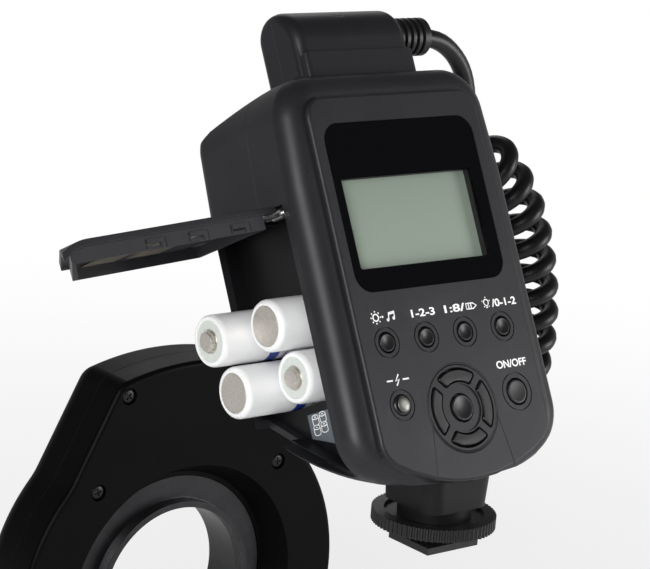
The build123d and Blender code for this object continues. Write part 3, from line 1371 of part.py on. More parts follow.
# Release buttons: a cap in the head's side, a yoke round the adapter ring and a hook on its far side
cap_planes = {side: BUTTON_PLANE.offset(side * YOKE_IN) for side in (1, -1)}
flange_low = abs(BUTTON_Z) + BUTTON_LENGTH / 2 + BUTTON_FLANGE
flange_reach = math.sqrt((HEAD_RADIUS - HEAD_WALL - RUN_GAP) ** 2 - flange_low**2)
for side, word in ((1, "right"), (-1, "left")):
    yoke_depth = yoke_depths[side]
    with BuildPart() as release_button:
        with BuildSketch(cap_planes[side]):
            Rectangle(BUTTON_WIDTH, BUTTON_LENGTH)
        extrude(amount=side * HEAD_RADIUS)
        with BuildSketch(cap_planes[side]):
            Rectangle(BUTTON_WIDTH + 2 * BUTTON_FLANGE, BUTTON_LENGTH + 2 * BUTTON_FLANGE)
        extrude(amount=side * (flange_reach - YOKE_IN))
        with BuildSketch(HEAD):
            Circle(HEAD_RADIUS + BUTTON_RISE)
            Circle(HEAD_RADIUS - HEAD_WALL - BUTTON_FLANGE_THICK - BUTTON_TRAVEL, mode=Mode.SUBTRACT)
        extrude(amount=-HEAD_DEPTH, mode=Mode.INTERSECT)
        with BuildSketch(head_at(yoke_depth)):
            Circle(YOKE_OUT)
            with Locations((0, BUTTON_Z)):
                Rectangle(
                    HEAD_RADIUS - HEAD_WALL - BUTTON_FLANGE_THICK,
                    LATCH_WIDTH,
                    align=(latch_side[-side], Align.CENTER),
                )
            Circle(YOKE_IN, mode=Mode.SUBTRACT)
            with Locations((-side * LATCH_REACH, BUTTON_Z)):
                Rectangle(YOKE_OUT - LATCH_REACH, LATCH_WIDTH, align=(latch_side[side], Align.CENTER))
        extrude(amount=-YOKE_THICK)
    release_button.part.label = f"release_button_{word}"
    export_step(release_button.part, f"parts/release_button_{word}.step")

# Adapter ring: it turns in the head and screws onto a lens
ring_start = THROAT_DEPTH + RUN_GAP
ring_end = HEAD_DEPTH - FRONT_LIP - RUN_GAP
groove_start = YOKE_LEFT_DEPTH - RUN_GAP
groove_end = YOKE_RIGHT_DEPTH + YOKE_THICK + RUN_GAP
with BuildPart() as adapter_ring:
    add(
        head_revolve_profile(
            [
                (RING_BORE, ring_start - LENS_THREAD_LENGTH),
                (RING_BORE, ring_end),
                (ring_radius, ring_end),
                (ring_radius, groove_end),
                (ring_radius - RING_GROOVE, groove_end),
                (ring_radius - RING_GROOVE, groove_start),
                (ring_radius, groove_start),
                (ring_radius, ring_start),
                (LENS_THREAD, ring_start),
                (LENS_THREAD, ring_start - LENS_THREAD_LENGTH),
            ]
        )
    )
adapter_ring.part.label = "adapter_ring"
export_step(adapter_ring.part, "parts/adapter_ring.step")

# Gland
with BuildPart() as head_gland:
    with BuildSketch(GLAND.offset(-GLAND_INSIDE)):
        Circle(GLAND_STEM)
    extrude(amount=GLAND_INSIDE)
    with BuildSketch(GLAND):
        Circle(GLAND_RADIUS)
    with BuildSketch(GLAND.offset(GLAND_LENGTH)):
        Circle(GLAND_TIP)
    loft()
head_gland.part.label = "head_gland"
export_step(head_gland.part, "parts/head_gland.step")

# Cord: routes of straight runs with tangent arcs
ARC_SHARE = 0.45


def make_lead(name, points):
    """A free stretch of the cord; prints its arcs' radii and checks its volume."""
    runs = [Vector(*b) - Vector(*a) for a, b in zip(points, points[1:])]
    radii = []
    for before, after in zip(runs, runs[1:]):
        half_turn = math.radians(before.get_angle(after)) / 2
        radii.append(ARC_SHARE * min(before.length, after.length) / math.tan(half_turn))
    with BuildPart() as stretch:
        with BuildLine() as route:
            FilletPolyline(*points, radius=radii)
        with BuildSketch(Plane(origin=points[0], z_dir=runs[0])):
            Circle(CORD / 2)
        sweep()
    length = route.wires()[0].length
    section = math.pi * CORD**2 / 4
    print(name, "length", round(length, 1), "radii", [round(r, 1) for r in radii])
    print(name, "volume over section times length", round(stretch.part.volume / (section * length), 4))
    stretch.part.label = name
    export_step(stretch.part, f"parts/{name}.step")
    return length


gland_end = GLAND.offset(GLAND_LENGTH).origin
tail_points = TAIL_ROUTE + (tuple(gland_end),)
lead_length = make_lead("cord_lead", LEAD_ROUTE)
tail_length = make_lead("cord_tail", tail_points)

# Coil: a helix about a smooth axis, entered and left along the axis at the helix's own radius
AXIS_STEPS = 2400
lead_last = Vector(*LEAD_ROUTE[-1])
tail_first = Vector(*TAIL_ROUTE[0])
start_dir = (lead_last - Vector(*LEAD_ROUTE[-2])).normalized()
end_dir = (Vector(*TAIL_ROUTE[1]) - tail_first).normalized()


def square_to(side, direction):
    """A unit vector near a side direction and square to another direction."""
    side = Vector(*side)
    return (side - direction * side.dot(direction)).normalized()


start_side = square_to(LEAD_SIDE, start_dir)
end_side = square_to(TAIL_SIDE, end_dir)
axis_points = [lead_last - start_side * CURL_RADIUS]
axis_points += [Vector(*point) for point in CURL_AXIS]
axis_points += [tail_first - end_side * CURL_RADIUS]
axis_curve = Edge.make_spline(axis_points, tangents=[start_dir, end_dir])
axis_length = axis_curve.length
axis_step = axis_length / AXIS_STEPS
centres = [axis_curve.position_at(i / AXIS_STEPS) for i in range(AXIS_STEPS + 1)]
tangents = [axis_curve.tangent_at(i / AXIS_STEPS) for i in range(AXIS_STEPS + 1)]
sides = [start_side]
for tangent in tangents[1:]:
    sides.append((sides[-1] - tangent * sides[-1].dot(tangent)).normalized())


def slope_at(s, pitch_share):
    """Turn in radians for each millimetre of axis: none along the straight ends, then easing in."""
    pitch = CURL_PITCH_END + (CURL_PITCH_START - CURL_PITCH_END) * math.exp(-s / CURL_PITCH_REACH)
    full = 2 * math.pi / (pitch * pitch_share)
    inside = min(s, axis_length - s) - CORD
    if inside <= 0:
        return 0
    lean = math.asin(min(1, inside / CURL_BEND))
    return min(full, math.tan(min(lean, math.atan(full * CURL_RADIUS))) / CURL_RADIUS)


def phases_for(pitch_share):
    """The helix's phase at each step along the axis."""
    phases = [0]
    for i in range(AXIS_STEPS):
        phases.append(phases[-1] + slope_at((i + 1 / 2) * axis_step, pitch_share) * axis_step)
    return phases


last_side = sides[-1]
last_cross = tangents[-1].cross(last_side)
end_phase = math.atan2(end_side.dot(last_cross), end_side.dot(last_side))
first_total = phases_for(1)[-1]
wanted = round((first_total - end_phase) / (2 * math.pi)) * 2 * math.pi + end_phase
low_share, high_share = 0.8, 1.25
while high_share - low_share > 1e-9:
    middle = (low_share + high_share) / 2
    if phases_for(middle)[-1] > wanted:
        low_share = middle
    else:
        high_share = middle
phases = phases_for(low_share)


def coil_point(i):
    """The cord's centre at a step along the axis."""
    cross = tangents[i].cross(sides[i])
    outwards = sides[i] * math.cos(phases[i]) + cross * math.sin(phases[i])
    return centres[i] + outwards * CURL_RADIUS


path = [coil_point(i) for i in range(AXIS_STEPS + 1)]
quarter = math.pi / 2
straight_steps = math.ceil(CORD / axis_step)
marks = [straight_steps]
for i in range(straight_steps, AXIS_STEPS - straight_steps):
    near_end = min(phases[i], phases[-1] - phases[i]) < 4 * quarter
    if phases[i] - phases[marks[-1]] >= (quarter if near_end else 2 * quarter):
        marks.append(i)
if phases[-1] - phases[marks[-1]] < quarter / 2:
    marks.pop()
marks.append(AXIS_STEPS - straight_steps)
nodes = [(path[i], (path[i + 1] - path[i - 1]).normalized()) for i in marks]
nodes[0] = (path[0] + start_dir * CORD, start_dir)
nodes[-1] = (path[-1] - end_dir * CORD, end_dir)


def biarc(first, last):
    """Two tangent arcs between two points with given directions."""
    (p1, t1), (p2, t2) = first, last
    v = p2 - p1
    t = t1 + t2
    spread = 2 * (1 - t1.dot(t2))
    d = (-v.dot(t) + math.sqrt(v.dot(t) ** 2 + spread * v.dot(v))) / spread
    joint = (p1 + p2 + (t1 - t2) * d) * (1 / 2)
    one = Edge.make_tangent_arc(p1, t1, joint)
    two = Edge.make_tangent_arc(joint, one.tangent_at(1), p2)
    return [one, two]


coil_edges = [Edge.make_line(path[0], nodes[0][0])]
for first, last in zip(nodes, nodes[1:]):
    coil_edges += biarc(first, last)
coil_edges.append(Edge.make_line(nodes[-1][0], path[-1]))
coil_wire = Wire(coil_edges)
least_arc = min(edge.radius for edge in coil_edges[1:-1])
with BuildPart() as cord_coil:
    with BuildSketch(Plane(origin=path[0], z_dir=start_dir)):
        Circle(CORD / 2)
    sweep(path=coil_wire)
cord_coil.part.label = "cord_coil"
export_step(cord_coil.part, "parts/cord_coil.step")

# The coil's least gap to itself, over points at least two diameters apart along the cord
samples = []
for edge in coil_edges:
    count = max(2, math.ceil(edge.length))
    samples += [edge.position_at(i / count) for i in range(count)]
apart = math.ceil(3 * CORD)
least_gap = min(
    (samples[i] - samples[j]).length - CORD
    for i in range(len(samples))
    for j in range(i + apart, min(len(samples), i + 12 * apart))
)
coil_volume_share = cord_coil.part.volume / (math.pi * CORD**2 / 4 * coil_wire.length)
print("coil turns", round(phases[-1] / (2 * math.pi), 2), "length", round(coil_wire.length, 1))
print("coil least arc radius", round(least_arc, 2), "least gap", round(least_gap, 2))
print("coil volume over section times length", round(coil_volume_share, 4))
print("cord length", round(lead_length + coil_wire.length + tail_length, 1))
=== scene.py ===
"""Macro ring flash: a control unit on a hot-shoe foot, a curly cord and a ring flash head."""
import math

import bpy
from mathutils import Matrix, Vector


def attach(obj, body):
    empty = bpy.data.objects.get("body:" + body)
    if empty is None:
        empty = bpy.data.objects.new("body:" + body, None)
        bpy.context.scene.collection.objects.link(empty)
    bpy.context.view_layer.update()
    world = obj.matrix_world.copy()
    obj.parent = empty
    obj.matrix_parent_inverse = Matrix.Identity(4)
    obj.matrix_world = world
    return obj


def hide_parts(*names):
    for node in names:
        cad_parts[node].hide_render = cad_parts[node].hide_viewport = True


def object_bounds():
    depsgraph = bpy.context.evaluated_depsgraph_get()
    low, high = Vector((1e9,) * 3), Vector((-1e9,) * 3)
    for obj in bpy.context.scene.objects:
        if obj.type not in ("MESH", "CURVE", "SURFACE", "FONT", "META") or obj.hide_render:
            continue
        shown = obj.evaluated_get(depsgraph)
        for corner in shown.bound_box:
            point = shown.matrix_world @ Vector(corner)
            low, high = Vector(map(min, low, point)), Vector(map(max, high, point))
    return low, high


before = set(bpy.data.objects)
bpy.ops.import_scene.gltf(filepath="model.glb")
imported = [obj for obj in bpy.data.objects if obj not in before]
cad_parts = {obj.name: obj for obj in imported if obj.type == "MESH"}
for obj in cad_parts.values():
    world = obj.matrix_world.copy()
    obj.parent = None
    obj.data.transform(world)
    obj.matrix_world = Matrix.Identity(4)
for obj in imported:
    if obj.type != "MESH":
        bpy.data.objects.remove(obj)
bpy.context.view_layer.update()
bpy.ops.object.select_all(action="DESELECT")

# Camera: it stands to the left of the control unit and above it, with a long lens, so that
# parallel edges stay nearly parallel. Its turn is in degrees.
CAMERA_PLACE = (-0.44226, -0.46878, 0.22978)
CAMERA_TURN = (76.094, -4.455, -39.091)
CAMERA_LENS = 134.63
CAMERA_FILM = 36
bpy.ops.object.camera_add(
    location=CAMERA_PLACE,
    rotation=[math.radians(angle) for angle in CAMERA_TURN],
)
camera = bpy.context.object
camera.name = "camera"
camera.data.lens = CAMERA_LENS
camera.data.sensor_width = CAMERA_FILM
bpy.context.scene.camera = camera
bpy.context.scene.view_settings.view_transform = "Standard"


class Value:
    """A number or vector inside a material. Plain arithmetic on it adds Math nodes."""

    def __init__(self, finish, socket):
        self.finish = finish
        self.socket = socket

    def maths(self, operation, first, second=0.0):
        return self.finish.node("ShaderNodeMath", {"operation": operation}, {0: first, 1: second})

    def __add__(self, other):
        return self.maths("ADD", self, other)

    def __radd__(self, other):
        return self.maths("ADD", other, self)

    def __sub__(self, other):
        return self.maths("SUBTRACT", self, other)

    def __rsub__(self, other):
        return self.maths("SUBTRACT", other, self)

    def __mul__(self, other):
        return self.maths("MULTIPLY", self, other)

    def __rmul__(self, other):
        return self.maths("MULTIPLY", other, self)

    def __truediv__(self, other):
        return self.maths("DIVIDE", self, other)

    def __abs__(self):
        return self.maths("ABSOLUTE", self)

    def atleast(self, other):
        return self.maths("MAXIMUM", self, other)

    def atmost(self, other):
        return self.maths("MINIMUM", self, other)

    def away(self, other):
        """The length of the two numbers taken as the sides of a right angle."""
        return self.maths("SQRT", self * self + other * other)

    def wave(self, length):
        """A sine from 0 to 1 with the given wave length."""
        return self.maths("SINE", self * (2 * math.pi / length)) * 0.5 + 0.5

    def ramp(self, low, high):
        """0 below the low value, 1 above the high one, smooth between them."""
        inputs = {"Value": self, "From Min": low, "From Max": high}
        return self.finish.node("ShaderNodeMapRange", {"interpolation_type": "SMOOTHSTEP"}, inputs)


class Finish:
    """A material being made: nodes are added one by one, and it ends in one shader."""

    def __init__(self, name, holder=None):
        self.material = holder or bpy.data.materials.new(name)
        self.material.use_nodes = True
        self.tree = self.material.node_tree
        self.tree.nodes.clear()
        self.place = self.node("ShaderNodeTexCoord", output="Generated" if holder else "Object")

    def node(self, kind, settings=None, inputs=None, output=0):
        """Adds a node: first its settings, then the values or links of its sockets."""
        made = self.tree.nodes.new(kind)
        for name, setting in (settings or {}).items():
            setattr(made, name, setting)
        for name, value in (inputs or {}).items():
            named = [s for s in made.inputs if s.enabled and s.name == name]
            socket = named[0] if named else made.inputs[name]
            if isinstance(value, Value):
                self.tree.links.new(value.socket, socket)
            else:
                socket.default_value = value
        shown = [s for s in made.outputs if s.enabled]
        return Value(self, made.outputs[output] if isinstance(output, str) else shown[output])

    def parts(self, vector):
        """The three numbers of a vector."""
        split = self.node("ShaderNodeSeparateXYZ", inputs={"Vector": vector})
        sockets = split.socket.node.outputs
        return [Value(self, socket) for socket in sockets]

    def noise(self, scale, detail=2.0, place=None):
        """Noise from 0 to 1, its scale in features for each metre."""
        inputs = {"Vector": place or self.place, "Scale": scale, "Detail": detail}
        return self.node("ShaderNodeTexNoise", inputs=inputs)

    def mix(self, share, first, second):
        """A colour between two colours."""
        inputs = {"Factor": share, "A": first, "B": second}
        return self.node("ShaderNodeMix", {"data_type": "RGBA"}, inputs)

    def end(self, inputs, height=None):
        """Ends in a Principled shader, with a bump from a height in millimetres."""
        if height is not None:
            bump = {"Height": height, "Distance": 0.001, "Strength": 1.0}
            inputs = {**inputs, "Normal": self.node("ShaderNodeBump", inputs=bump)}
        shader = self.node("ShaderNodeBsdfPrincipled", inputs=inputs)
        return self.done(shader)

    def done(self, shader, kind="ShaderNodeOutputMaterial"):
        """Links a shader to the output."""
        output = self.tree.nodes.new(kind)
        self.tree.links.new(shader.socket, output.inputs["Surface"])
        return self.material


def frame_sizes(finish):
    """Millimetres along x, y and z of the shared frame."""
    return [part * 1000 for part in finish.parts(finish.place)]


def grained(name, scale, detail, dark, light, gloss, bump=0.0, more=None, patches=None):
    """A finish of one grain, which varies the gloss, given as (least, added), and the bump.

    Its two tones are mixed by the grain too, or by wider patches.
    """
    made = Finish(name)
    grain = made.noise(scale, detail)
    tone = made.noise(*patches) if patches else grain
    inputs = {
        "Base Color": made.mix(tone, (*dark, 1), (*light, 1)),
        "Roughness": gloss[0] + gloss[1] * grain,
        **(more or {}),
    }
    return made.end(inputs, grain * bump if bump else None)


METAL = {"Metallic": 1.0}


def dress(material, *names):
    """Gives CAD nodes a material."""
    for name in names:
        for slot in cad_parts[name].material_slots:
            slot.material = material


def coat(piece, material):
    """Gives a piece one material alone."""
    piece.data.materials.clear()
    piece.data.materials.append(material)


# Curly cord: a lead from the boot, a coil that hangs in a bow beside the unit, and a tail into
# the head's boot. One spline carries it, and its turns are a helix about the coil's own route.
CORD_THICK = 0.0055
TURN_RADIUS = 0.00725
POINTS_A_TURN = 14
END_REACH = 0.006
TURN_PITCH = 0.0081
FIRST_PITCH_MORE = 0.0039
STRETCH_FADES = 0.022
BEND_IN = 0.010
HALVINGS = 40
LEAD = [
    (0.0275, 0.0593, 0.1315),
    (0.0369, 0.0594, 0.1315),
    (0.0458, 0.0596, 0.1273),
    (0.0522, 0.0598, 0.1198),
    (0.0547, 0.0600, 0.1103),
    (0.0561, 0.0600, 0.1049),
]
COIL_AXIS = [
    (0.0665, 0.0660, 0.0945),
    (0.0760, 0.0638, 0.0845),
    (0.0827, 0.0613, 0.0710),
    (0.0870, 0.0600, 0.0550),
    (0.0893, 0.0600, 0.0400),
    (0.0904, 0.0612, 0.0265),
    (0.0910, 0.0685, 0.0125),
    (0.0888, 0.0815, 0.0035),
    (0.0832, 0.0955, 0.0000),
]
TAIL = [
    (0.0735, 0.1110, 0.0080),
    (0.0675, 0.1195, 0.0130),
    (0.0586, 0.1250, 0.0130),
    (0.0506, 0.1250, 0.0091),
    (0.0470, 0.1250, 0.0073),
]
lead_way = (Vector(LEAD[-1]) - Vector(LEAD[-2])).normalized()
tail_way = (Vector(TAIL[1]) - Vector(TAIL[0])).normalized()


def square_to(side, way):
    """A unit vector near a side and square to a direction."""
    side = Vector(side)
    return (side - way * side.dot(way)).normalized()


def spline_of(name, points):
    """A curve of one open smooth spline through the pull of the given points."""
    line = bpy.data.curves.new(name, "CURVE")
    line.dimensions = "3D"
    spline = line.splines.new("NURBS")
    spline.points.add(len(points) - 1)
    for held, point in zip(spline.points, points):
        held.co = (*point, 1)
    spline.order_u = 3
    spline.use_endpoint_u = True
    spline.resolution_u = 12
    piece = bpy.data.objects.new(name, line)
    bpy.context.scene.collection.objects.link(piece)
    return piece


first_side = square_to((0, -1, 0), lead_way)
last_side = square_to((0, 0, 1), tail_way)
axis_start = Vector(LEAD[-1]) - first_side * TURN_RADIUS
axis_end = Vector(TAIL[0]) - last_side * TURN_RADIUS
axis_points = [axis_start, axis_start + lead_way * END_REACH]
axis_points += [Vector(point) for point in COIL_AXIS]
axis_points += [axis_end - tail_way * END_REACH, axis_end]
axis_piece = spline_of("coil_route", axis_points)
axis_piece.data.splines[0].resolution_u = 90
axis_mesh = bpy.data.meshes.new_from_object(axis_piece)
centres = [vertex.co.copy() for vertex in axis_mesh.vertices]
bpy.data.objects.remove(axis_piece)
steps = [(b - a).length for a, b in zip(centres, centres[1:])]
axis_length = sum(steps)


def turn_rate(reached, share):
    """Turn in radians for each metre of the route: none at its straight ends, then easing in."""
    pitch = TURN_PITCH + FIRST_PITCH_MORE * math.exp(-reached / STRETCH_FADES)
    full = 2 * math.pi / (pitch * share)
    inside = min(reached, axis_length - reached) - CORD_THICK
    if inside <= 0:
        return 0
    lean = math.asin(min(1, inside / BEND_IN))
    return min(full, math.tan(min(lean, math.atan(full * TURN_RADIUS))) / TURN_RADIUS)


def turns_along(share):
    """The helix's angle at each point of the route."""
    angles = [0.0]
    reached = 0.0
    for step in steps:
        angles.append(angles[-1] + turn_rate(reached + step / 2, share) * step)
        reached += step
    return angles


ways = [(b - a).normalized() for a, b in zip(centres, centres[1:])]
ways.append(ways[-1])
sides = [first_side]
for way in ways[1:]:
    sides.append((sides[-1] - way * sides[-1].dot(way)).normalized())
last_cross = ways[-1].cross(sides[-1])
end_angle = math.atan2(last_side.dot(last_cross), last_side.dot(sides[-1]))
whole_turns = round((turns_along(1)[-1] - end_angle) / (2 * math.pi))
wanted = 2 * math.pi * whole_turns + end_angle
low_share = 0.8
high_share = 1.25
for _ in range(HALVINGS):
    share = (low_share + high_share) / 2
    if turns_along(share)[-1] > wanted:
        low_share = share
    else:
        high_share = share
angles = turns_along(low_share)
pull_radius = TURN_RADIUS / math.cos(math.pi / POINTS_A_TURN)
cord_points = [Vector(point) for point in LEAD]
next_angle = 0.0
for centre, way, side, angle in zip(centres, ways, sides, angles):
    if angle > next_angle:
        outwards = side * math.cos(angle) + way.cross(side) * math.sin(angle)
        near_end = min(angle, angles[-1] - angle) < math.pi / 2
        cord_points.append(centre + outwards * (TURN_RADIUS if near_end else pull_radius))
        next_angle = angle + 2 * math.pi / POINTS_A_TURN
cord_points += [Vector(point) for point in TAIL]
cord = spline_of("cord", cord_points)
cord.data.bevel_depth = CORD_THICK / 2
cord.data.bevel_resolution = 5
cord.data.splines[0].resolution_u = 4
cord.data.use_fill_caps = True
cord_rubber = grained(
    "cord_rubber_satin",
    2400,
    3.0,
    (0.005, 0.005, 0.0055),
    (0.009, 0.009, 0.0095),
    (0.32, 0.12),
    0.012,
    {"Specular IOR Level": 0.28},
    (90, 2.0),
)
coat(cord, cord_rubber)
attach(cord, "frame")
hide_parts("cord_lead", "cord_coil", "cord_tail")

# Casing of the control unit: two moulded halves of black ABS with a fine spark grain. Its finish
# holds what is shallow: the parting line, two ovals, the gap and the band round the arrow keys.
PANEL_PLACE = (0.0, -0.0076, 0.041)
PANEL_TURN = (math.radians(63), 0.0, 0.0)
SEAM_DEPTH = 20.0
OVAL_ACROSS = 21.0
OVAL_WIDE = 3.4
OVAL_DEPTH = 6.0
OVAL_HIGH = 2.1
PAD_GAP = 12.35
BAND_HALF = 12.0
BAND_START = 3.5
BAND_TAPER = 0.16


def panel_sizes(finish):
    """Millimetres across the panel, up it and out of it."""
    inputs = {
        "Vector": finish.place,
        "Location": PANEL_PLACE,
        "Rotation": PANEL_TURN,
        "Scale": (0.001, 0.001, 0.001),
    }
    return finish.parts(finish.node("ShaderNodeMapping", {"vector_type": "TEXTURE"}, inputs))


def moulded(finish, dark, light, height, sheen, shine=0.26):
    """The casing's plastic: grain, soft patches of tone and handling sheen."""
    grain = finish.noise(2600, 3.0)
    patches = finish.noise(55, 3.0)
    tone = finish.mix((grain * 0.55 + patches * 0.45).ramp(0.3, 0.7), dark, light)
    roughness = 0.38 + 0.10 * grain - sheen * patches.ramp(0.45, 0.75)
    inputs = {"Base Color": tone, "Roughness": roughness, "Specular IOR Level": shine}
    return finish.end(inputs, grain * 0.016 + height)


casing = Finish("casing_spark_grain")
across, up, out = panel_sizes(casing)
seam = 1 - abs(out + SEAM_DEPTH).ramp(0.05, 0.22)
dish = ((abs(across) - OVAL_ACROSS) / OVAL_WIDE).away((out + OVAL_DEPTH) / OVAL_HIGH)
oval = (1 - dish.ramp(0.8, 1.05)) * up.ramp(90, 92)
from_pad = across.away(up)
in_front = out.ramp(-1.0, -0.6)
side_line = abs(across) - (BAND_HALF - (up + BAND_START) * BAND_TAPER)
below_pad = (1 - up.ramp(-1.5, 0.5)) * from_pad.ramp(12.2, 12.6) * in_front
band = (1 - side_line.ramp(-0.16, 0.16)) * below_pad
pad_gap = (1 - abs(from_pad - PAD_GAP).ramp(0.12, 0.4)) * in_front
casing_plastic = moulded(
    casing,
    (0.0115, 0.0113, 0.0136, 1),
    (0.0190, 0.0187, 0.0222, 1),
    seam * -0.2 + oval * -0.3 + band * -0.5 + pad_gap * -0.35,
    0.06,
)
dress(casing_plastic, "lens_side_shell")

# millimetres on the leaning panel to metres, and a flat drawing turned to face right
LEAN = (
    Matrix.Translation(PANEL_PLACE) @ Matrix.Rotation(PANEL_TURN[0], 4, "X") @ Matrix.Scale(0.001, 4)
)
FACING_RIGHT = Matrix(((0, 0, 1, 0), (1, 0, 0, 0), (0, 1, 0, 0), (0, 0, 0, 1)))
BODY_HALF = 38.65
BODY_TOP = 97.55
BODY_TOP_HALF = 36.85
BODY_WAIST = 66.0
BODY_BOTTOM = -22.05
BODY_BOTTOM_ARC = 70.0
VALLEY = 1.5
SHOULDER_ROLL = 6.4
PLATEAU_HALF = 31.0
PLATEAU_TOP = 90.0
PLATEAU_BOTTOM = -20.0
PLATEAU_ARC = 55.0
PLATEAU_ROLL = 1.15
BODY_CORNER = 14.0
BODY_TOP_CORNER = 13.0
PLATEAU_LOW_CORNER = 8.0
PLATEAU_TOP_CORNER = 6.0
FORM_THICK = 60.0
PLATEAU_THICK = 8.0
PLATEAU_OUT = 0.02
NEAR_POINTS = 0.000002
NEAR_DRAWN = 0.0005
SAME_PLANE = 0.3
ROLLED_ANGLE = 28
ARC_SHARES = (-0.72, -0.48, -0.24, 0, 0.24, 0.48, 0.72)


def alone(piece):
    """Selects one piece and makes it the active one."""
    bpy.ops.object.select_all(action="DESELECT")
    piece.select_set(True)
    bpy.context.view_layer.objects.active = piece


def merged(piece, near):
    """Merges the points of a piece that lie together and turns its faces outwards."""
    alone(piece)
    bpy.ops.object.mode_set(mode="EDIT")
    bpy.ops.mesh.select_all(action="SELECT")
    bpy.ops.mesh.remove_doubles(threshold=near)
    bpy.ops.mesh.normals_make_consistent(inside=False)
    bpy.ops.object.mode_set(mode="OBJECT")
    return piece


def placed(name, made):
    """Puts a mesh or a curve into the scene as a piece."""
    piece = bpy.data.objects.new(name, made)
    bpy.context.scene.collection.objects.link(piece)
    return piece


def copy_of(node, name):
    """A merged copy of a CAD node, to be shaped further."""
    return merged(placed(name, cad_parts[node].data.copy()), NEAR_POINTS)


def shaped_by(piece, tool, operation):
    """Joins a tool to a piece, cuts it away or keeps what both hold, and removes the tool."""
    alone(piece)
    change = piece.modifiers.new("change", "BOOLEAN")
    change.operation = operation
    change.object = tool
    bpy.ops.object.modifier_apply(modifier=change.name)
    bpy.data.objects.remove(tool)
    return piece


def smooth(piece, angle=40):
    """Smooth shading with its sharp edges kept and its large faces left flat."""
    alone(piece)
    bpy.ops.object.mode_set(mode="EDIT")
    bpy.ops.mesh.select_all(action="SELECT")
    bpy.ops.mesh.dissolve_limited(angle_limit=math.radians(SAME_PLANE))
    bpy.ops.object.mode_set(mode="OBJECT")
    bpy.ops.object.shade_smooth_by_angle(angle=math.radians(angle))
    evened = piece.modifiers.new("evened", "WEIGHTED_NORMAL")
    evened.keep_sharp = True
    evened.weight = 100
    bpy.ops.object.modifier_apply(modifier=evened.name)


def round_corners(corners):
    """Outline points with each corner, given as (x, y, radius), rounded by an arc."""
    points = []
    for i, (x, y, radius) in enumerate(corners):
        here = Vector((x, y))
        if not radius:
            points.append((x, y))
            continue
        before = (Vector(corners[i - 1][:2]) - here).normalized()
        after = (Vector(corners[(i + 1) % len(corners)][:2]) - here).normalized()
        half = before.angle(after) / 2
        centre = here + (before + after).normalized() * (radius / math.sin(half))
        start = here + before * (radius / math.tan(half)) - centre
        sweep = math.pi - 2 * half
        if before.x * after.y - before.y * after.x > 0:
            sweep = -sweep
        count = max(2, round(abs(sweep) * 8))
        for k in range(count + 1):
            points.append(tuple(centre + Matrix.Rotation(sweep * k / count, 2) @ start))
    return points


def low_arc(half, low, radius):
    """The points of an outline's shallow lower arc, and the height of its two ends."""

    def height(x):
        return low + radius - math.sqrt(radius**2 - x**2)

    return [(half * share, height(half * share), 0) for share in ARC_SHARES], height(half)


def rolled_slab(name, outline, thick, roll):
    """A slab drawn flat in millimetres, its top at height 0 and its edges rolled."""
    line = bpy.data.curves.new(name, "CURVE")
    line.dimensions = "2D"
    line.fill_mode = "BOTH"
    spline = line.splines.new("POLY")
    spline.points.add(len(outline) - 1)
    for held, point in zip(spline.points, outline):
        held.co = (*point, 0, 1)
    spline.use_cyclic_u = True
    line.extrude = thick / 2 - roll
    line.bevel_depth = roll
    line.bevel_resolution = 7
    line.offset = -roll
    piece = placed(name, line)
    alone(piece)
    bpy.ops.object.convert(target="MESH")
    piece = bpy.context.object
    piece.data.transform(Matrix.Translation((0, 0, -thick / 2)))
    return merged(piece, NEAR_DRAWN)


def on_panel(piece, across=0.0, up=0.0, out=0.0):
    """Moves a piece drawn flat in millimetres onto the leaning panel and applies its place."""
    piece.data.transform(LEAN @ Matrix.Translation((across, up, out)))
    return piece


arc, low_side = low_arc(BODY_HALF, BODY_BOTTOM, BODY_BOTTOM_ARC)
body_outline = [
    (-BODY_HALF, low_side, BODY_CORNER),
    *arc,
    (BODY_HALF, low_side, BODY_CORNER),
    (BODY_HALF, BODY_WAIST, 0),
    (BODY_TOP_HALF, BODY_TOP, BODY_TOP_CORNER),
    (-BODY_TOP_HALF, BODY_TOP, BODY_TOP_CORNER),
    (-BODY_HALF, BODY_WAIST, 0),
]
front_form = rolled_slab("front_form", round_corners(body_outline), FORM_THICK, SHOULDER_ROLL)
on_panel(front_form, out=-VALLEY)
arc, low_side = low_arc(PLATEAU_HALF, PLATEAU_BOTTOM, PLATEAU_ARC)
plateau_outline = [
    (-PLATEAU_HALF, low_side, PLATEAU_LOW_CORNER),
    *arc,
    (PLATEAU_HALF, low_side, PLATEAU_LOW_CORNER),
    (PLATEAU_HALF, PLATEAU_TOP, PLATEAU_TOP_CORNER),
    (-PLATEAU_HALF, PLATEAU_TOP, PLATEAU_TOP_CORNER),
]
plateau_points = round_corners(plateau_outline)
plateau_form = rolled_slab("plateau_form", plateau_points, PLATEAU_THICK, PLATEAU_ROLL)
on_panel(plateau_form, out=PLATEAU_OUT)
front_shell = copy_of("panel_shell", "front_shell")
shaped_by(front_form, plateau_form, "UNION")
shaped_by(front_shell, front_form, "INTERSECT")
coat(front_shell, casing_plastic)
smooth(front_shell, ROLLED_ANGLE)
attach(front_shell, "frame")
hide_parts("panel_shell")

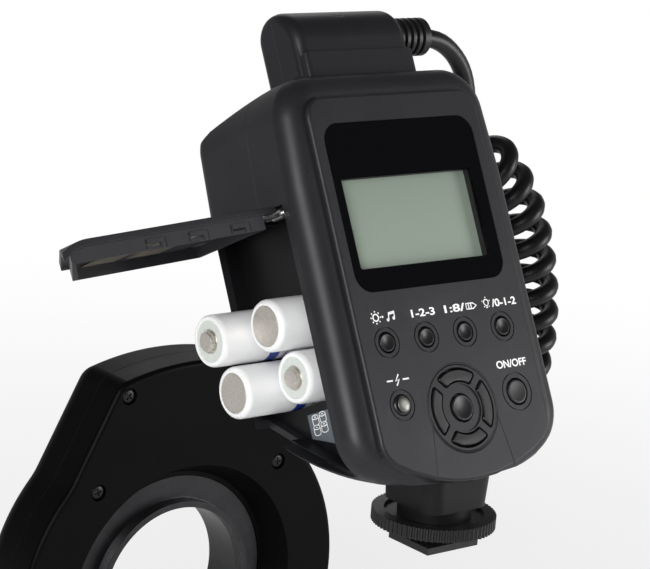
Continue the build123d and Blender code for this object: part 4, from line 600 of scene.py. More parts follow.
# Display: a black-backed window with a clear pane, a rubber frame behind it and a grey-green
# reflective display that shows no figures while the unit is off.
PANE_ACROSS = -0.6
PANE_UP = 53.95
PANE_HALF = 22.9
PANE_HALF_HEIGHT = 11.95
PIXEL_SPACING = 0.42
window = Finish("window_gloss_black")
across, up, _ = panel_sizes(window)
pane_side = (abs(across - PANE_ACROSS) - PANE_HALF).atleast(0.0)
pane_end = (abs(up - PANE_UP) - PANE_HALF_HEIGHT).atleast(0.0)
clear = 1 - pane_side.away(pane_end).ramp(0.72, 0.85)
scuffs = window.noise(420, 5.0)
window_material = window.end(
    {
        "Base Color": (0.0030, 0.0030, 0.0036, 1),
        "Roughness": 0.07 + 0.05 * scuffs.ramp(0.5, 0.8),
        "Alpha": 1 - clear * 0.97,
        "Specular IOR Level": 0.08,
    }
)
dress(window_material, "lcd_window")
frame_rubber = grained(
    "display_frame_rubber",
    1800,
    2.0,
    (0.006, 0.006, 0.007),
    (0.012, 0.012, 0.013),
    (0.55, 0.2),
    0.01,
)
dress(frame_rubber, "display_gasket")
screen = Finish("display_grey_green")
across, up, _ = panel_sizes(screen)
pixels = (across.wave(PIXEL_SPACING) * up.wave(PIXEL_SPACING)).ramp(0.0, 1.0)
# painted shade: the display's colour darkens towards its top and its left, standing for the shadow
# of the window's frame
painted_shade_on_screen = ((up - 41) / 26 - across / 160).ramp(-0.4, 1.3)
screen_tone = screen.mix(painted_shade_on_screen, (0.275, 0.325, 0.270, 1), (0.225, 0.268, 0.222, 1))
screen_tone = screen.mix(pixels * 0.10, screen_tone, (0.19, 0.23, 0.19, 1))
screen_material = screen.end(
    {
        "Base Color": screen_tone,
        "Roughness": 0.25 + 0.1 * screen.noise(900),
        "Specular IOR Level": 0.2,
    }
)
dress(screen_material, "lcd_module")

# Keys: dished satin caps, four arrow keys with eased edges in their ring, and a milky lamp in
# the test key. Each cap is the solid key, cut by a turned form or smaller than it by a little.
key_plastic = grained(
    "key_satin_rubber",
    3200,
    2.0,
    (0.006, 0.006, 0.007),
    (0.010, 0.010, 0.011),
    (0.32, 0.12),
    0.008,
    {"Specular IOR Level": 0.34},
    (160, 3.0),
)
dress(key_plastic, "pilot_key")
dress(casing_plastic, "pad_bezel")


def turned(name, profile, steps=48):
    """A turned shape: (radius, height) points in millimetres carried round the upright axis."""
    line = bpy.data.meshes.new(name)
    rows = [(radius, 0, height) for radius, height in profile]
    line.from_pydata(rows, [(i, i + 1) for i in range(len(rows) - 1)], [])
    piece = placed(name, line)
    alone(piece)
    lathe = piece.modifiers.new("lathe", "SCREW")
    lathe.steps = steps
    lathe.render_steps = steps
    lathe.use_merge_vertices = True
    bpy.ops.object.modifier_apply(modifier=lathe.name)
    return merged(piece, NEAR_DRAWN)


# each key's place across the panel and up it, and its radius
KEY_PLACES = {
    "light_key": (-21.27, 20.6, 2.8),
    "mode_key": (-7.09, 20.6, 2.8),
    "ratio_key": (7.09, 20.6, 2.8),
    "lamp_key": (21.27, 20.6, 2.8),
    "power_key": (21.1, 1.9, 3.7),
    "set_key": (0.0, 0.0, 3.9),
}
KEY_DISH = 0.5
POWER_DISH = 0.18
KEY_RIM = 0.62
KEY_RISE = 0.22
CAP_DEPTH = 1.9
STEM_DEPTH = 16.0
STEM_ROOM = 9.0
DISH_STEPS = 6
for key_name, (across, up, radius) in KEY_PLACES.items():
    dip = POWER_DISH if key_name == "power_key" else KEY_DISH
    rim = radius - KEY_RIM
    shares = [i / DISH_STEPS for i in range(DISH_STEPS + 1)]
    bowl = [(rim * share, dip * (share**2 - 1)) for share in shares]
    edge = [(rim + 0.16, -0.03), (rim + 0.30, -0.16), (rim + 0.36, -0.4), (rim + 0.38, -CAP_DEPTH)]
    stem = [(STEM_ROOM, -CAP_DEPTH), (STEM_ROOM, -STEM_DEPTH), (0.0, -STEM_DEPTH)]
    form = turned("key_form", bowl + edge + stem)
    on_panel(form, across, up, KEY_RISE)
    cap = copy_of(key_name, key_name + "_cap")
    shaped_by(cap, form, "INTERSECT")
    coat(cap, key_plastic)
    smooth(cap)
    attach(cap, key_name)
    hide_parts(key_name)


def eased_copy(node, name, width, material, angle=50):
    """A copy of a CAD node with its sharp edges rounded, in place of the node."""
    piece = copy_of(node, name)
    eased = piece.modifiers.new("eased", "BEVEL")
    eased.width = width
    eased.segments = 3
    eased.angle_limit = math.radians(angle)
    alone(piece)
    bpy.ops.object.modifier_apply(modifier=eased.name)
    coat(piece, material)
    smooth(piece)
    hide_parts(node)
    return piece


# each arrow key, the middle that it shrinks about, and its shares across and up
ARROWS = [
    ("up_key", (0, 8.2), (0.94, 0.86)),
    ("down_key", (0, -8.2), (0.94, 0.86)),
    ("left_key", (-8.2, 0), (0.86, 0.94)),
    ("right_key", (8.2, 0), (0.86, 0.94)),
]
ARROW_EASE = 0.0005
for key_name, middle, shares in ARROWS:
    cap = eased_copy(key_name, key_name + "_cap", ARROW_EASE, key_plastic)
    smaller = Matrix.Translation((*middle, 0)) @ Matrix.Diagonal((*shares, 1, 1))
    smaller = smaller @ Matrix.Translation((-middle[0], -middle[1], 0))
    cap.data.transform(LEAN @ smaller @ LEAN.inverted())
    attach(cap, key_name)

PILOT_ACROSS = -20.9
PILOT_UP = 3.3
LAMP_RADIUS = 1.9
LAMP_CUT = 0.3
LAMP_STRETCH = (1.15, 1.15, 0.36)
bpy.ops.mesh.primitive_uv_sphere_add(segments=32, ring_count=16, radius=LAMP_RADIUS)
pilot_lamp = bpy.context.object
pilot_lamp.name = "pilot_lamp"
bpy.ops.object.mode_set(mode="EDIT")
bpy.ops.mesh.select_all(action="SELECT")
bpy.ops.mesh.bisect(
    plane_co=(0, 0, LAMP_CUT),
    plane_no=(0, 0, 1),
    clear_inner=True,
    use_fill=True,
)
bpy.ops.mesh.select_all(action="SELECT")
bpy.ops.transform.resize(value=LAMP_STRETCH)
bpy.ops.object.mode_set(mode="OBJECT")
bpy.ops.object.shade_smooth()
on_panel(pilot_lamp, PILOT_ACROSS, PILOT_UP, 0.0)
lamp_glow = Finish("pilot_lamp_milky")
across, up, _ = panel_sizes(lamp_glow)
from_middle = (across - PILOT_ACROSS).away(up - PILOT_UP).ramp(0.2, 2.1)
lamp_milky = lamp_glow.end(
    {
        "Base Color": lamp_glow.mix(from_middle, (0.34, 0.34, 0.31, 1), (0.06, 0.06, 0.055, 1)),
        "Roughness": 0.22 + 0.1 * lamp_glow.noise(1500),
        "Coat Weight": 0.3,
    }
)
coat(pilot_lamp, lamp_milky)
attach(pilot_lamp, "pilot_key")

# Legends: white ink above the keys, printed on the panel. They are plain signs and figures,
# drawn in millimetres across the panel and up it.
ink = Finish("legend_white_ink")
ink_white = ink.end(
    {
        "Base Color": ink.mix(ink.noise(1600, 2.0), (0.80, 0.80, 0.80, 1), (0.88, 0.88, 0.88, 1)),
        "Roughness": 0.5 + 0.1 * ink.noise(900),
    }
)
INK_OUT = 0.02
INK_THICK = 0.06
LETTER_THICK = 0.02
LETTER_BOLD = 0.022


def arc_points(across, up, wide, high, count=18, start=0.0, span=360.0):
    """Points round an ellipse or an arc of it."""
    turns = [math.radians(start + span * i / count) for i in range(count + 1)]
    return [(across + wide * math.cos(a), up + high * math.sin(a)) for a in turns]


def circle_points(across, up, radius, count=20, start=0.0, span=360.0):
    """Points round a circle or an arc of it."""
    return arc_points(across, up, radius, radius, count, start, span)


def strokes(name, lines, width):
    """Pen strokes drawn flat in millimetres, made a thin mesh."""
    line = bpy.data.curves.new(name, "CURVE")
    line.dimensions = "3D"
    for points in lines:
        closed = (Vector(points[0]) - Vector(points[-1])).length < 1e-6
        drawn = points[:-1] if closed else points
        spline = line.splines.new("POLY")
        spline.points.add(len(drawn) - 1)
        for held, point in zip(spline.points, drawn):
            held.co = (*point, 0, 1)
        spline.use_cyclic_u = closed
    line.bevel_depth = width / 2
    line.bevel_resolution = 1
    line.use_fill_caps = True
    piece = placed(name, line)
    alone(piece)
    bpy.ops.object.convert(target="MESH")
    piece = bpy.context.object
    piece.data.transform(Matrix.Diagonal((1, 1, INK_THICK / width, 1)))
    return piece


def words(name, text, left, right, low, high):
    """Figures set in a box, made a thin mesh."""
    bpy.ops.object.text_add()
    piece = bpy.context.object
    piece.name = name
    piece.data.body = text
    piece.data.extrude = LETTER_THICK
    piece.data.offset = LETTER_BOLD
    bpy.ops.object.convert(target="MESH")
    piece = bpy.context.object
    xs = [v.co.x for v in piece.data.vertices]
    ys = [v.co.y for v in piece.data.vertices]
    wide = (right - left) / (max(xs) - min(xs))
    tall = (high - low) / (max(ys) - min(ys))
    piece.data.transform(
        Matrix.Translation((left, low, 0))
        @ Matrix.Diagonal((wide, tall, 1, 1))
        @ Matrix.Translation((-min(xs), -min(ys), 0))
    )
    return piece


def print_on_panel(piece, *more):
    """Joins the parts of a legend, lays it on the panel and gives it ink."""
    if more:
        alone(piece)
        for other in more:
            other.select_set(True)
        bpy.ops.object.join()
    on_panel(piece, out=INK_OUT)
    coat(piece, ink_white)
    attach(piece, "frame")


def rays(across, up, near, far, count, start=0.0):
    """Short strokes round a point."""
    turns = [math.radians(start + 360 * i / count) for i in range(count)]
    return [
        [
            (across + near * math.cos(a), up + near * math.sin(a)),
            (across + far * math.cos(a), up + far * math.sin(a)),
        ]
        for a in turns
    ]


sun = [circle_points(-23.3, 27.7, 0.95)] + rays(-23.3, 27.7, 1.45, 1.85, 8)
note = [
    circle_points(-19.2, 26.7, 0.28, 10),
    circle_points(-17.1, 27.0, 0.28, 10),
    [(-18.9, 26.7), (-18.6, 28.6), (-16.6, 28.9), (-16.8, 27.0)],
    [(-18.65, 28.2), (-16.65, 28.5)],
]
spot = [circle_points(-20.9, 27.7, 0.14, 8)]
print_on_panel(strokes("legend_light", sun + note + spot, 0.42))
print_on_panel(words("legend_mode", "1-2-3", -10.7, -2.2, 26.4, 28.6))
pennant = [
    [(9.6, 26.7), (12.1, 26.7), (13.4, 27.5), (12.1, 28.3), (9.6, 28.3), (9.6, 26.7)],
    [(10.5, 26.7), (10.5, 28.3)],
    [(11.4, 26.7), (11.4, 28.3)],
]
print_on_panel(
    words("legend_ratio", "1:8/", 1.4, 9.0, 26.4, 28.6),
    strokes("pennant", pennant, 0.4),
)
bulb = [
    circle_points(17.2, 27.9, 0.85, 18, -60, 300),
    [(16.8, 26.95), (17.6, 26.95)],
    [(16.9, 26.45), (17.5, 26.45)],
]
bulb += rays(17.2, 27.9, 1.25, 1.6, 5, 18)
print_on_panel(
    words("legend_lamp", "/0-1-2", 19.2, 28.4, 26.35, 28.6),
    strokes("bulb", bulb, 0.36),
)
bolt = [
    [(-20.0, 11.7), (-21.3, 10.0), (-20.0, 10.3), (-21.2, 8.7)],
    [(-24.4, 10.2), (-22.3, 10.2)],
    [(-18.8, 10.2), (-16.6, 10.2)],
]
print_on_panel(strokes("legend_test", bolt, 0.5))
print_on_panel(words("legend_power", "ON/OFF", 15.7, 27.0, 8.9, 11.1))

# Cells: four AA cells in white shrink sleeves with a plain blue band, part of the way out. A nub
# or a flat nickel disc shows at each end.
CELL_LENGTH = 50.5
SLEEVE_RADIUS = 7.25
SEATED_COLUMN = {"near": -19.1, "far": -34.1}
SEATED_ROW = {"low": 17.0, "high": 32.0}
# each cell's row, its column, how far its outer end stands out, and whether its nub is outside
CELLS = [
    ("battery_far_high", "high", "far", 55.5, True),
    ("battery_near_high", "high", "near", 45.9, False),
    ("battery_far_low", "low", "far", 50.0, False),
    ("battery_near_low", "low", "near", 41.5, True),
]
# stripes along the sleeve, and the places and radii of the bare ends
BLUE_BAND = (17.6, 21.2)
GREY_LINE = (23.4, 23.9)
FLAT_END = 0.35
FLAT_DISC = 5.6
NUB_END = 48.5
NUB_COLLAR = 5.7
NUB_DISC = 3.3


def stripe(value, places, edge):
    """1 between two places, with soft edges."""
    low, high = places
    return value.ramp(low, low + edge) * (1 - value.ramp(high, high + edge))


def sleeve_for(out_end):
    """The white sleeve with its blue band and a grey line, at their place along a cell."""
    made = Finish("cell_white_sleeve")
    along, _, _ = frame_sizes(made)
    creases = made.noise(260, 4.0)
    from_end = along + out_end
    white = made.mix(creases, (0.76, 0.765, 0.77, 1), (0.82, 0.82, 0.825, 1))
    blue = made.mix(stripe(from_end, BLUE_BAND, 0.1), white, (0.010, 0.045, 0.30, 1))
    tone = made.mix(stripe(from_end, GREY_LINE, 0.05), blue, (0.30, 0.31, 0.33, 1))
    inputs = {"Base Color": tone, "Roughness": 0.26 + 0.1 * creases, "Coat Weight": 0.25}
    return made.end(inputs, creases * 0.05)


nickel = Finish("cell_nickel")
nickel_spots = nickel.noise(1500, 6.0).ramp(0.3, 0.7)
nickel_metal = nickel.end(
    {
        "Base Color": nickel.mix(nickel_spots, (0.62, 0.58, 0.53, 1), (0.72, 0.68, 0.63, 1)),
        "Metallic": 1.0,
        "Roughness": 0.40 + 0.08 * nickel_spots,
    },
    nickel_spots * 0.004,
)
collar_plastic = grained(
    "cell_end_collar",
    700,
    3.0,
    (0.52, 0.56, 0.53),
    (0.62, 0.65, 0.62),
    (0.42, 0.1),
    0.02,
)

# radius and height of the turned outline, from the flat end to the nub
CELL_PROFILE = [
    (0.0, 0.12),
    (5.15, 0.12),
    (5.3, 0.02),
    (5.46, 0.04),
    (5.58, 0.34),
    (5.66, 0.1),
    (5.85, 0.0),
    (6.3, 0.06),
    (6.8, 0.42),
    (7.12, 1.0),
    (SLEEVE_RADIUS, 1.7),
    (SLEEVE_RADIUS, 47.7),
    (7.12, 48.5),
    (6.75, 49.05),
    (6.2, 49.2),
    (5.75, 49.1),
    (5.6, 48.95),
    (3.45, 48.95),
    (3.3, 48.6),
    (2.75, 48.6),
    (2.75, 50.2),
    (2.62, 50.42),
    (2.35, 50.5),
    (0.0, 50.5),
]


def make_cell(name, row, column, out_end, nub_out):
    """One cell, turned standing on its flat end, then laid in the bay."""
    cell = turned(name + "_cell", CELL_PROFILE, 64)
    for material in (sleeve_for(out_end), nickel_metal, collar_plastic):
        cell.data.materials.append(material)
    for face in cell.data.polygons:
        radius = math.hypot(face.center.x, face.center.y)
        if face.center.z < FLAT_END and radius < FLAT_DISC:
            face.material_index = 1
        if face.center.z > NUB_END and radius < NUB_COLLAR:
            face.material_index = 1 if radius < NUB_DISC else 2
    turn = Matrix.Rotation(math.radians(-90 if nub_out else 90), 4, "Y")
    inner = CELL_LENGTH - out_end if nub_out else -out_end
    seat = Matrix.Translation((inner, SEATED_ROW[row], SEATED_COLUMN[column]))
    cell.data.transform(LEAN @ seat @ turn)
    smooth(cell)
    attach(cell, name)
    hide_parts(name)


for cell_facts in CELLS:
    make_cell(*cell_facts)

# Battery bay: a black liner with a smoother face, nickel-plated strips at its closed end, and a
# grey plate that shows which way round the cells go.
liner_plastic = grained(
    "bay_liner_black",
    1500,
    3.0,
    (0.0035, 0.0035, 0.004),
    (0.007, 0.007, 0.008),
    (0.34, 0.14),
    0.012,
    {"Specular IOR Level": 0.2},
    (35, 2.0),
)
dress(liner_plastic, "battery_bay")
contact_metal = grained(
    "contact_nickel_strip",
    500,
    5.0,
    (0.48, 0.42, 0.33),
    (0.66, 0.60, 0.50),
    (0.22, 0.2),
    0.03,
    METAL,
)
dress(contact_metal, "bay_contacts", "door_contacts", "shoe_contacts")
plate_grey = grained(
    "polarity_plate_grey",
    1400,
    2.0,
    (0.082, 0.096, 0.112),
    (0.102, 0.118, 0.136),
    (0.4, 0.15),
    0.006,
)
dress(plate_grey, "polarity_plate")

# the plate's drawing: the left and low corner of each cell, and whether its nub is up
SKETCHED_CELLS = [(-4.0, 2.9, True), (0.2, 3.3, False), (-4.2, -0.6, False), (0.0, -0.2, True)]
SKETCH_MIDDLE = 1.9
SKETCH_TALL = 2.3
SKETCH_FOOT = 0.2
SKETCH_PEN = 0.34
SKETCH_SCALE = 0.8
SKETCH_PLACE = (-31.32, 2.0, -23.2)


def cell_sketch(left, low, nub_up):
    """A small upright cell: a body with an oval end, and a plus or a minus in it."""
    middle = left + SKETCH_MIDDLE
    top = low + SKETCH_TALL
    foot = low + SKETCH_FOOT
    lines = [
        arc_points(middle, top, 1.7, 0.75),
        arc_points(middle, foot, 1.7, 0.75, start=180, span=180),
        [(left + 0.2, top), (left + 0.2, foot)],
        [(left + 3.6, top), (left + 3.6, foot)],
        [(left + 1.4, top), (left + 2.4, top)],
    ]
    if nub_up:
        lines.append([(middle, top - 0.35), (middle, top + 0.35)])
    return lines


sketch_lines = [line for place in SKETCHED_CELLS for line in cell_sketch(*place)]
plate_sketch = strokes("polarity_sketch", sketch_lines, SKETCH_PEN)
facing_left = Matrix.Translation(SKETCH_PLACE) @ Matrix.Rotation(math.radians(-90), 4, "Y")
plate_sketch.data.transform(LEAN @ facing_left @ Matrix.Scale(SKETCH_SCALE, 4))
coat(plate_sketch, ink_white)
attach(plate_sketch, "frame")

# Door: a moulded skin with a tray snapped into it, held on two sprung steel arms that turn on a
# pin through the bay's lugs.
tray_plastic = grained(
    "door_tray_grey",
    1700,
    3.0,
    (0.020, 0.020, 0.023),
    (0.031, 0.031, 0.035),
    (0.32, 0.12),
    0.01,
    {"Specular IOR Level": 0.3},
    (70, 3.0),
)
SKIN_EASE = 0.0012
TRAY_EASE = 0.00022
door_skin = eased_copy("door_shell", "door_skin", SKIN_EASE, casing_plastic, 40)
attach(door_skin, "door")
door_tray = eased_copy("door_inner_plate", "door_tray", TRAY_EASE, tray_plastic)
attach(door_tray, "door")

# slots through the tray's near wall, round the L of each catch
PIN_ACROSS = -36.85
PIN_UP = 61.2
OPEN_ANGLE = 86.45
DOOR_SLIDE = 2.0
CATCH_BASE = -35.75
CATCH_TOP = 49.2
CATCH_PITCH = 14.0
CATCH_COUNT = 3
NEAR_WALL = -10.8
SLOT_REACH = 1.4
# each slot's reach out of the tray's base, and along the door from the catch's end
SLOTS = [((1.25, 1.85), (1.3, 5.4)), ((0.1, 2.5), (5.6, 6.1)), ((0.1, 2.5), (-0.6, -0.1))]
open_door = (
    LEAN
    @ Matrix.Translation((PIN_ACROSS, PIN_UP, 0))
    @ Matrix.Rotation(math.radians(-OPEN_ANGLE), 4, "Z")
    @ Matrix.Translation((-PIN_ACROSS, -PIN_UP - DOOR_SLIDE, 0))
)


def box_tool(name, low, high, place):
    """A box between two corners in millimetres, laid by a matrix, to cut with."""
    bpy.ops.mesh.primitive_cube_add(size=1)
    tool = bpy.context.object
    tool.name = name
    middle = [(a + b) / 2 for a, b in zip(low, high)]
    widths = [b - a for a, b in zip(low, high)]
    tool.data.transform(place @ Matrix.Translation(middle) @ Matrix.Diagonal((*widths, 1)))
    return tool


for i in range(CATCH_COUNT):
    start = CATCH_TOP - i * CATCH_PITCH
    for (near, far), (first, last) in SLOTS:
        low = (CATCH_BASE + near, start - last, NEAR_WALL - SLOT_REACH)
        high = (CATCH_BASE + far, start - first, NEAR_WALL + SLOT_REACH)
        shaped_by(door_tray, box_tool("slot", low, high, open_door), "DIFFERENCE")
smooth(door_tray)
spring_metal = grained(
    "hinge_spring_steel",
    1100,
    3.0,
    (0.50, 0.50, 0.50),
    (0.66, 0.66, 0.65),
    (0.24, 0.16),
    0.015,
    METAL,
)
dress(spring_metal, "door_hinge_arm", "door_hinge_pin")

# Cord block: two halves with rolled ends on top of the body, a round plug in the left end and a
# ribbed boot for the cord on the right one.
BLOCK_SEAM_DEPTH = 19.7
MARK_ACROSS = -0.5
MARK_DEPTH = 15.0
MARK_RADIUS = 1.9
block = Finish("block_spark_grain")
across, up, out = panel_sizes(block)
block_seam = 1 - abs(out + BLOCK_SEAM_DEPTH).ramp(0.05, 0.2)
mark_ring = abs((across - MARK_ACROSS).away(out + MARK_DEPTH) - MARK_RADIUS)
mark = (1 - mark_ring.ramp(0.1, 0.28)) * up.ramp(112, 113)
block_plastic = moulded(
    block,
    (0.0090, 0.0088, 0.0106, 1),
    (0.0150, 0.0147, 0.0174, 1),
    block_seam * -0.18 + mark * -0.10,
    0.05,
)
dress(block_plastic, "block_plug")
BLOCK_HALF = 20.55
BLOCK_END_ROLL = 3.4
LOWER_HALF = BLOCK_HALF - 0.9
LOWER_ROLL = 0.8
# corners of the two slabs, seen from the left: up, out and corner radius
BLOCK_UPPER = [
    (70.0, -10.1, 0),
    (119.45, -10.1, 10.4),
    (119.45, -28.35, 7.4),
    (70.0, -28.35, 0),
]
BLOCK_LOWER = [(70.0, -8.65, 0), (105.1, -8.65, 0), (105.1, -27.0, 0), (70.0, -27.0, 0)]


def block_slab(profile, half, roll):
    """A slab that lies across the block, from its profile seen from the left."""
    slab = rolled_slab("block_form", round_corners(profile[::-1]), 2 * half, roll)
    slab.data.transform(LEAN @ Matrix.Translation((half, 0, 0)) @ FACING_RIGHT)
    return slab


for half_name in ("cord_block_front", "cord_block_rear"):
    form = block_slab(BLOCK_UPPER, BLOCK_HALF, BLOCK_END_ROLL)
    shaped_by(form, block_slab(BLOCK_LOWER, LOWER_HALF, LOWER_ROLL), "UNION")
    half_shell = copy_of(half_name, half_name + "_shell")
    shaped_by(half_shell, form, "INTERSECT")
    coat(half_shell, block_plastic)
    smooth(half_shell, ROLLED_ANGLE)
    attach(half_shell, "frame")
    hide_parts(half_name)

boot_rubber = grained(
    "boot_rubber",
    2000,
    3.0,
    (0.006, 0.006, 0.0065),
    (0.011, 0.011, 0.012),
    (0.34, 0.14),
    0.012,
    {"Specular IOR Level": 0.3},
)
dress(boot_rubber, "strain_relief", "head_gland")

# Neck, foot and lock: a moulded neck, a toothed wheel that presses a steel washer on the shoe,
# a nylon foot and a steel pin.
neck = Finish("neck_spark_grain")
neck_plastic = moulded(
    neck,
    (0.0045, 0.0045, 0.005, 1),
    (0.0080, 0.0080, 0.0088, 1),
    0.0,
    0.05,
    0.18,
)
dress(neck_plastic, "neck")
wheel_plastic = grained(
    "wheel_satin_nylon",
    1900,
    3.0,
    (0.007, 0.007, 0.0075),
    (0.013, 0.013, 0.014),
    (0.33, 0.13),
    0.014,
    {"Specular IOR Level": 0.32},
)
dress(wheel_plastic, "lock_wheel", "hot_shoe_foot")
dress(spring_metal, "clamp_washer", "lock_pin")

# Ring head: front and rear covers round the lens axis, with a parting line, a soft grain and a
# near-black colour that is painted shade.
HEAD_AXIS = -55.0
HEAD_SEAM = 122.9
head = Finish("head_spark_grain_painted_shade")
_, head_y, _ = frame_sizes(head)
head_seam = 1 - abs(head_y - HEAD_SEAM).ramp(0.06, 0.24)
# painted shade: these tones are far darker than the casing's, standing for the shade the head lies
# in
head_plastic_painted_shade = moulded(
    head,
    (0.0010, 0.0010, 0.0012, 1),
    (0.0024, 0.0024, 0.0028, 1),
    head_seam * -0.22,
    0.05,
    0.05,
)
dress(head_plastic_painted_shade, "head_front_cover", "head_rear_cover")

# Flash windows: clear ribbed polycarbonate over polished reflectors and glass tubes. The four
# focus lamps have milky lenses.
RIB_SPACING = 1.6
glass = Finish("flash_window_ribbed")
_, _, glass_z = frame_sizes(glass)
glass_material = glass.end(
    {
        "Base Color": (0.97, 0.97, 0.98, 1),
        "Roughness": 0.06 + 0.05 * glass.noise(500),
        "Transmission Weight": 1.0,
        "IOR": 1.58,
    },
    glass_z.wave(RIB_SPACING) * 0.16,
)
dress(glass_material, "flash_window_left", "flash_window_right")
mirror = grained(
    "reflector_bright",
    300,
    4.0,
    (0.80, 0.80, 0.80),
    (0.90, 0.90, 0.90),
    (0.16, 0.14),
    0.04,
    METAL,
)
dress(mirror, "reflector_left", "reflector_right")
tube_glass = grained(
    "flash_tube_glass",
    400,
    3.0,
    (0.80, 0.83, 0.84),
    (0.90, 0.92, 0.92),
    (0.08, 0.1),
    more={"Coat Weight": 0.4},
)
dress(tube_glass, "flash_tubes")
lamp_lens = grained(
    "focus_lamp_lens",
    900,
    3.0,
    (0.78, 0.76, 0.66),
    (0.90, 0.88, 0.80),
    (0.12, 0.12),
    more={"Coat Weight": 0.6},
)
dress(lamp_lens, "focus_lamps")

# Release buttons: satin caps with fine grip lines, one on each side of the head.
GRIP_SPACING = 1.8
GRIP_START = 58
grip = Finish("release_button_grip")
grip_x, _, grip_z = frame_sizes(grip)
grip_side = abs(grip_x).ramp(GRIP_START, GRIP_START + 1)
grip_grain = grip.noise(2300, 3.0)
grip_rubber = grip.end(
    {
        "Base Color": grip.mix(grip_grain, (0.004, 0.004, 0.0045, 1), (0.008, 0.008, 0.009, 1)),
        "Specular IOR Level": 0.16,
        "Roughness": 0.34 + 0.14 * grip_grain,
    },
    grip_z.wave(GRIP_SPACING) * grip_side * 0.22 + grip_grain * 0.01,
)
dress(grip_rubber, "release_button_left", "release_button_right")

# Adapter ring: turned aluminium, black anodised, with a fine thread at its rear and tool lines.
THREAD_PITCH = 0.75
THREAD_END = 121.0
THREAD_RADIUS = 29.1
TOOL_SPACING = 0.5
ring = Finish("adapter_anodised")
ring_x, ring_y, ring_z = frame_sizes(ring)
ring_out = ring_x.away(ring_z - HEAD_AXIS)
at_rear = 1 - ring_y.ramp(THREAD_END, THREAD_END + 0.2)
inside = 1 - ring_out.ramp(THREAD_RADIUS, THREAD_RADIUS + 0.2)
thread = ring_y.wave(THREAD_PITCH) * at_rear * inside
tool_lines = ring_out.wave(TOOL_SPACING) * 0.012
ring_wear = ring.noise(220, 4.0)
worn = ring_wear.ramp(0.3, 0.8)
ring_metal = ring.end(
    {
        "Base Color": ring.mix(worn, (0.022, 0.022, 0.024, 1), (0.032, 0.032, 0.035, 1)),
        "Metallic": 0.65,
        "Roughness": 0.28 + 0.06 * ring_wear,
    },
    thread * 0.3 + tool_lines,
)
dress(ring_metal, "adapter_ring")

# Head screws: black pan heads with a cross recess, sunk in wells of the rear cover.
# each screw's place across and up from the lens axis
SCREWS = [(35.0, 39.0), (-35.0, 39.0), (25.6, 68.6), (-25.6, 68.6), (38.0, -38.0), (-38.0, -38.0)]
SCREW_TOP = 0.1127
SCREW_DOME = 0.0006
SCREW_TURN = 17
CROSS_HEIGHT = 0.55
CROSS_SIZE = (2.5, 0.55, 1.0)
screw_metal = grained(
    "screw_black_zinc",
    1300,
    4.0,
    (0.014, 0.014, 0.015),
    (0.036, 0.036, 0.038),
    (0.28, 0.2),
    0.02,
    {"Metallic": 0.9},
)

# radius and height of the turned outline, from the domed top to the shaft's end
SCREW_PROFILE = [
    (0.0, 0.6),
    (1.5, 0.55),
    (2.05, 0.36),
    (2.34, 0.02),
    (2.4, -0.6),
    (1.0, -0.6),
    (1.0, -11.4),
    (0.0, -11.4),
]


def make_screw(x, z, turn):
    """A pan-head screw: a domed head with a cross cut into it, on a shaft."""
    screw = turned("screw", SCREW_PROFILE, 40)
    for quarter in (0, 90):
        bpy.ops.mesh.primitive_cube_add(
            size=1,
            location=(0, 0, CROSS_HEIGHT),
            rotation=(0, 0, math.radians(quarter + turn)),
        )
        blade = bpy.context.object
        blade.scale = CROSS_SIZE
        bpy.ops.object.transform_apply(location=True, rotation=True, scale=True)
        shaped_by(screw, blade, "DIFFERENCE")
    # the domed top comes up to the given place, a little under the cover's face
    face = Matrix.Translation((x * 0.001, SCREW_TOP + SCREW_DOME, (HEAD_AXIS + z) * 0.001))
    screw.data.transform(face @ Matrix.Rotation(math.radians(90), 4, "X") @ Matrix.Scale(0.001, 4))
    return screw


screws = [make_screw(x, z, SCREW_TURN * i) for i, (x, z) in enumerate(SCREWS)]
alone(screws[0])
for screw in screws[1:]:
    screw.select_set(True)
bpy.ops.object.join()
screw_set = bpy.context.object
screw_set.name = "head_screw_set"
coat(screw_set, screw_metal)
bpy.ops.object.shade_smooth_by_angle(angle=math.radians(35))
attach(screw_set, "frame")
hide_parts("head_screws")

# Boards and capacitor: green glass-fibre boards with copper tracks under the mask, and the
# capacitor's black sleeve.
board = Finish("board_green_mask")
track_cells = board.node(
    "ShaderNodeTexVoronoi",
    {"feature": "DISTANCE_TO_EDGE"},
    {"Vector": board.place, "Scale": 260.0},
)
tracks = track_cells.ramp(0.02, 0.05)
board_mask = board.end(
    {
        "Base Color": board.mix(tracks, (0.030, 0.110, 0.045, 1), (0.012, 0.055, 0.022, 1)),
        "Roughness": 0.3 + 0.2 * board.noise(700),
    },
    tracks * -0.03,
)
dress(board_mask, "key_board", "main_board", "head_board")
capacitor_sleeve = grained(
    "capacitor_sleeve_black",
    180,
    4.0,
    (0.010, 0.011, 0.014),
    (0.020, 0.021, 0.026),
    (0.22, 0.16),
    0.06,
)
dress(capacitor_sleeve, "flash_capacitor")

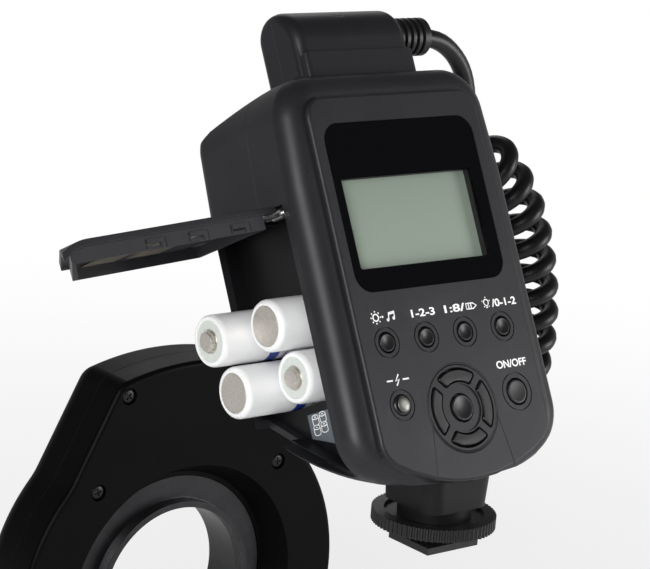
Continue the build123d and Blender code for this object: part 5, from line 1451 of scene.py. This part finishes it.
# Floor and light: a white sweep under the lowest piece, seen as plain white, with soft lamps to
# the left, to the right and behind. The ceiling and the room behind the camera are dimmer.
FLOOR_SIZE = 6
FLOOR_GAP = 0.0004
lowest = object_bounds()[0]
bpy.ops.mesh.primitive_grid_add(
    x_subdivisions=8,
    y_subdivisions=8,
    size=FLOOR_SIZE,
    location=(0, 0.05, lowest.z - FLOOR_GAP),
)
floor = bpy.context.object
floor.name = "floor"
paper = Finish("white_paper")
paper_x, paper_y, _ = paper.parts(paper.place)
seen = paper.node("ShaderNodeLightPath", output="Is Camera Ray")
glossy = paper.node("ShaderNodeLightPath", output="Is Glossy Ray")
through = paper.node("ShaderNodeLightPath", output="Is Transmission Ray")
paper_grain = paper.noise(700, 3.0)
matt = paper.node(
    "ShaderNodeBsdfPrincipled",
    inputs={
        "Base Color": paper.mix(paper_grain, (0.82, 0.82, 0.82, 1), (0.86, 0.86, 0.86, 1)),
        "Roughness": 0.8,
        "Specular IOR Level": 0.1,
    },
)
bright = paper.node("ShaderNodeEmission", inputs={"Color": (1, 1, 1, 1), "Strength": 1.0})
far_off = paper_x.away(paper_y).ramp(0.2, 0.8)
share = seen.atleast(through) * (0.72 + 0.28 * far_off) + glossy * 0.35
paper.done(paper.node("ShaderNodeMixShader", inputs={0: share.atmost(1.0), 1: matt, 2: bright}))
coat(floor, paper.material)

studio = bpy.data.worlds.new("studio")
bpy.context.scene.world = studio
room = Finish("studio", studio)
room_x, room_y, room_z = room.parts(room.place)
seen = room.node("ShaderNodeLightPath", output="Is Camera Ray")
glossy = room.node("ShaderNodeLightPath", output="Is Glossy Ray")
through = room.node("ShaderNodeLightPath", output="Is Transmission Ray")
behind = (room_x * 0.62 + room_y * 0.74).ramp(-0.3, 0.6)
low_down = 1 - room_z.ramp(0.2, 0.65)
shine = 0.06 + 0.38 * behind * low_down
level = seen.atleast(through).atleast(glossy * shine + (1 - glossy) * 0.27)
backdrop = room.node("ShaderNodeBackground", inputs={"Color": (1, 1, 1, 1), "Strength": level})
room.done(backdrop, "ShaderNodeOutputWorld")

LAMP_AIM = (0.0, 0.04, 0.05)
# name, place, size and power of each lamp
LAMPS = [
    ("left_lamp", (-0.90, -0.60, 0.45), 0.55, 12.5),
    ("right_lamp", (0.95, -0.78, 0.16), 0.55, 9.5),
    ("rear_lamp", (0.55, 0.95, 0.70), 0.5, 1.5),
]
for lamp_name, lamp_place, lamp_size, lamp_power in LAMPS:
    bpy.ops.object.light_add(type="AREA", location=lamp_place)
    lamp = bpy.context.object
    lamp.name = lamp_name
    lamp.data.energy = lamp_power
    lamp.data.size = lamp_size
    towards = Vector(LAMP_AIM) - Vector(lamp_place)
    lamp.rotation_euler = towards.to_track_quat("-Z", "Y").to_euler()
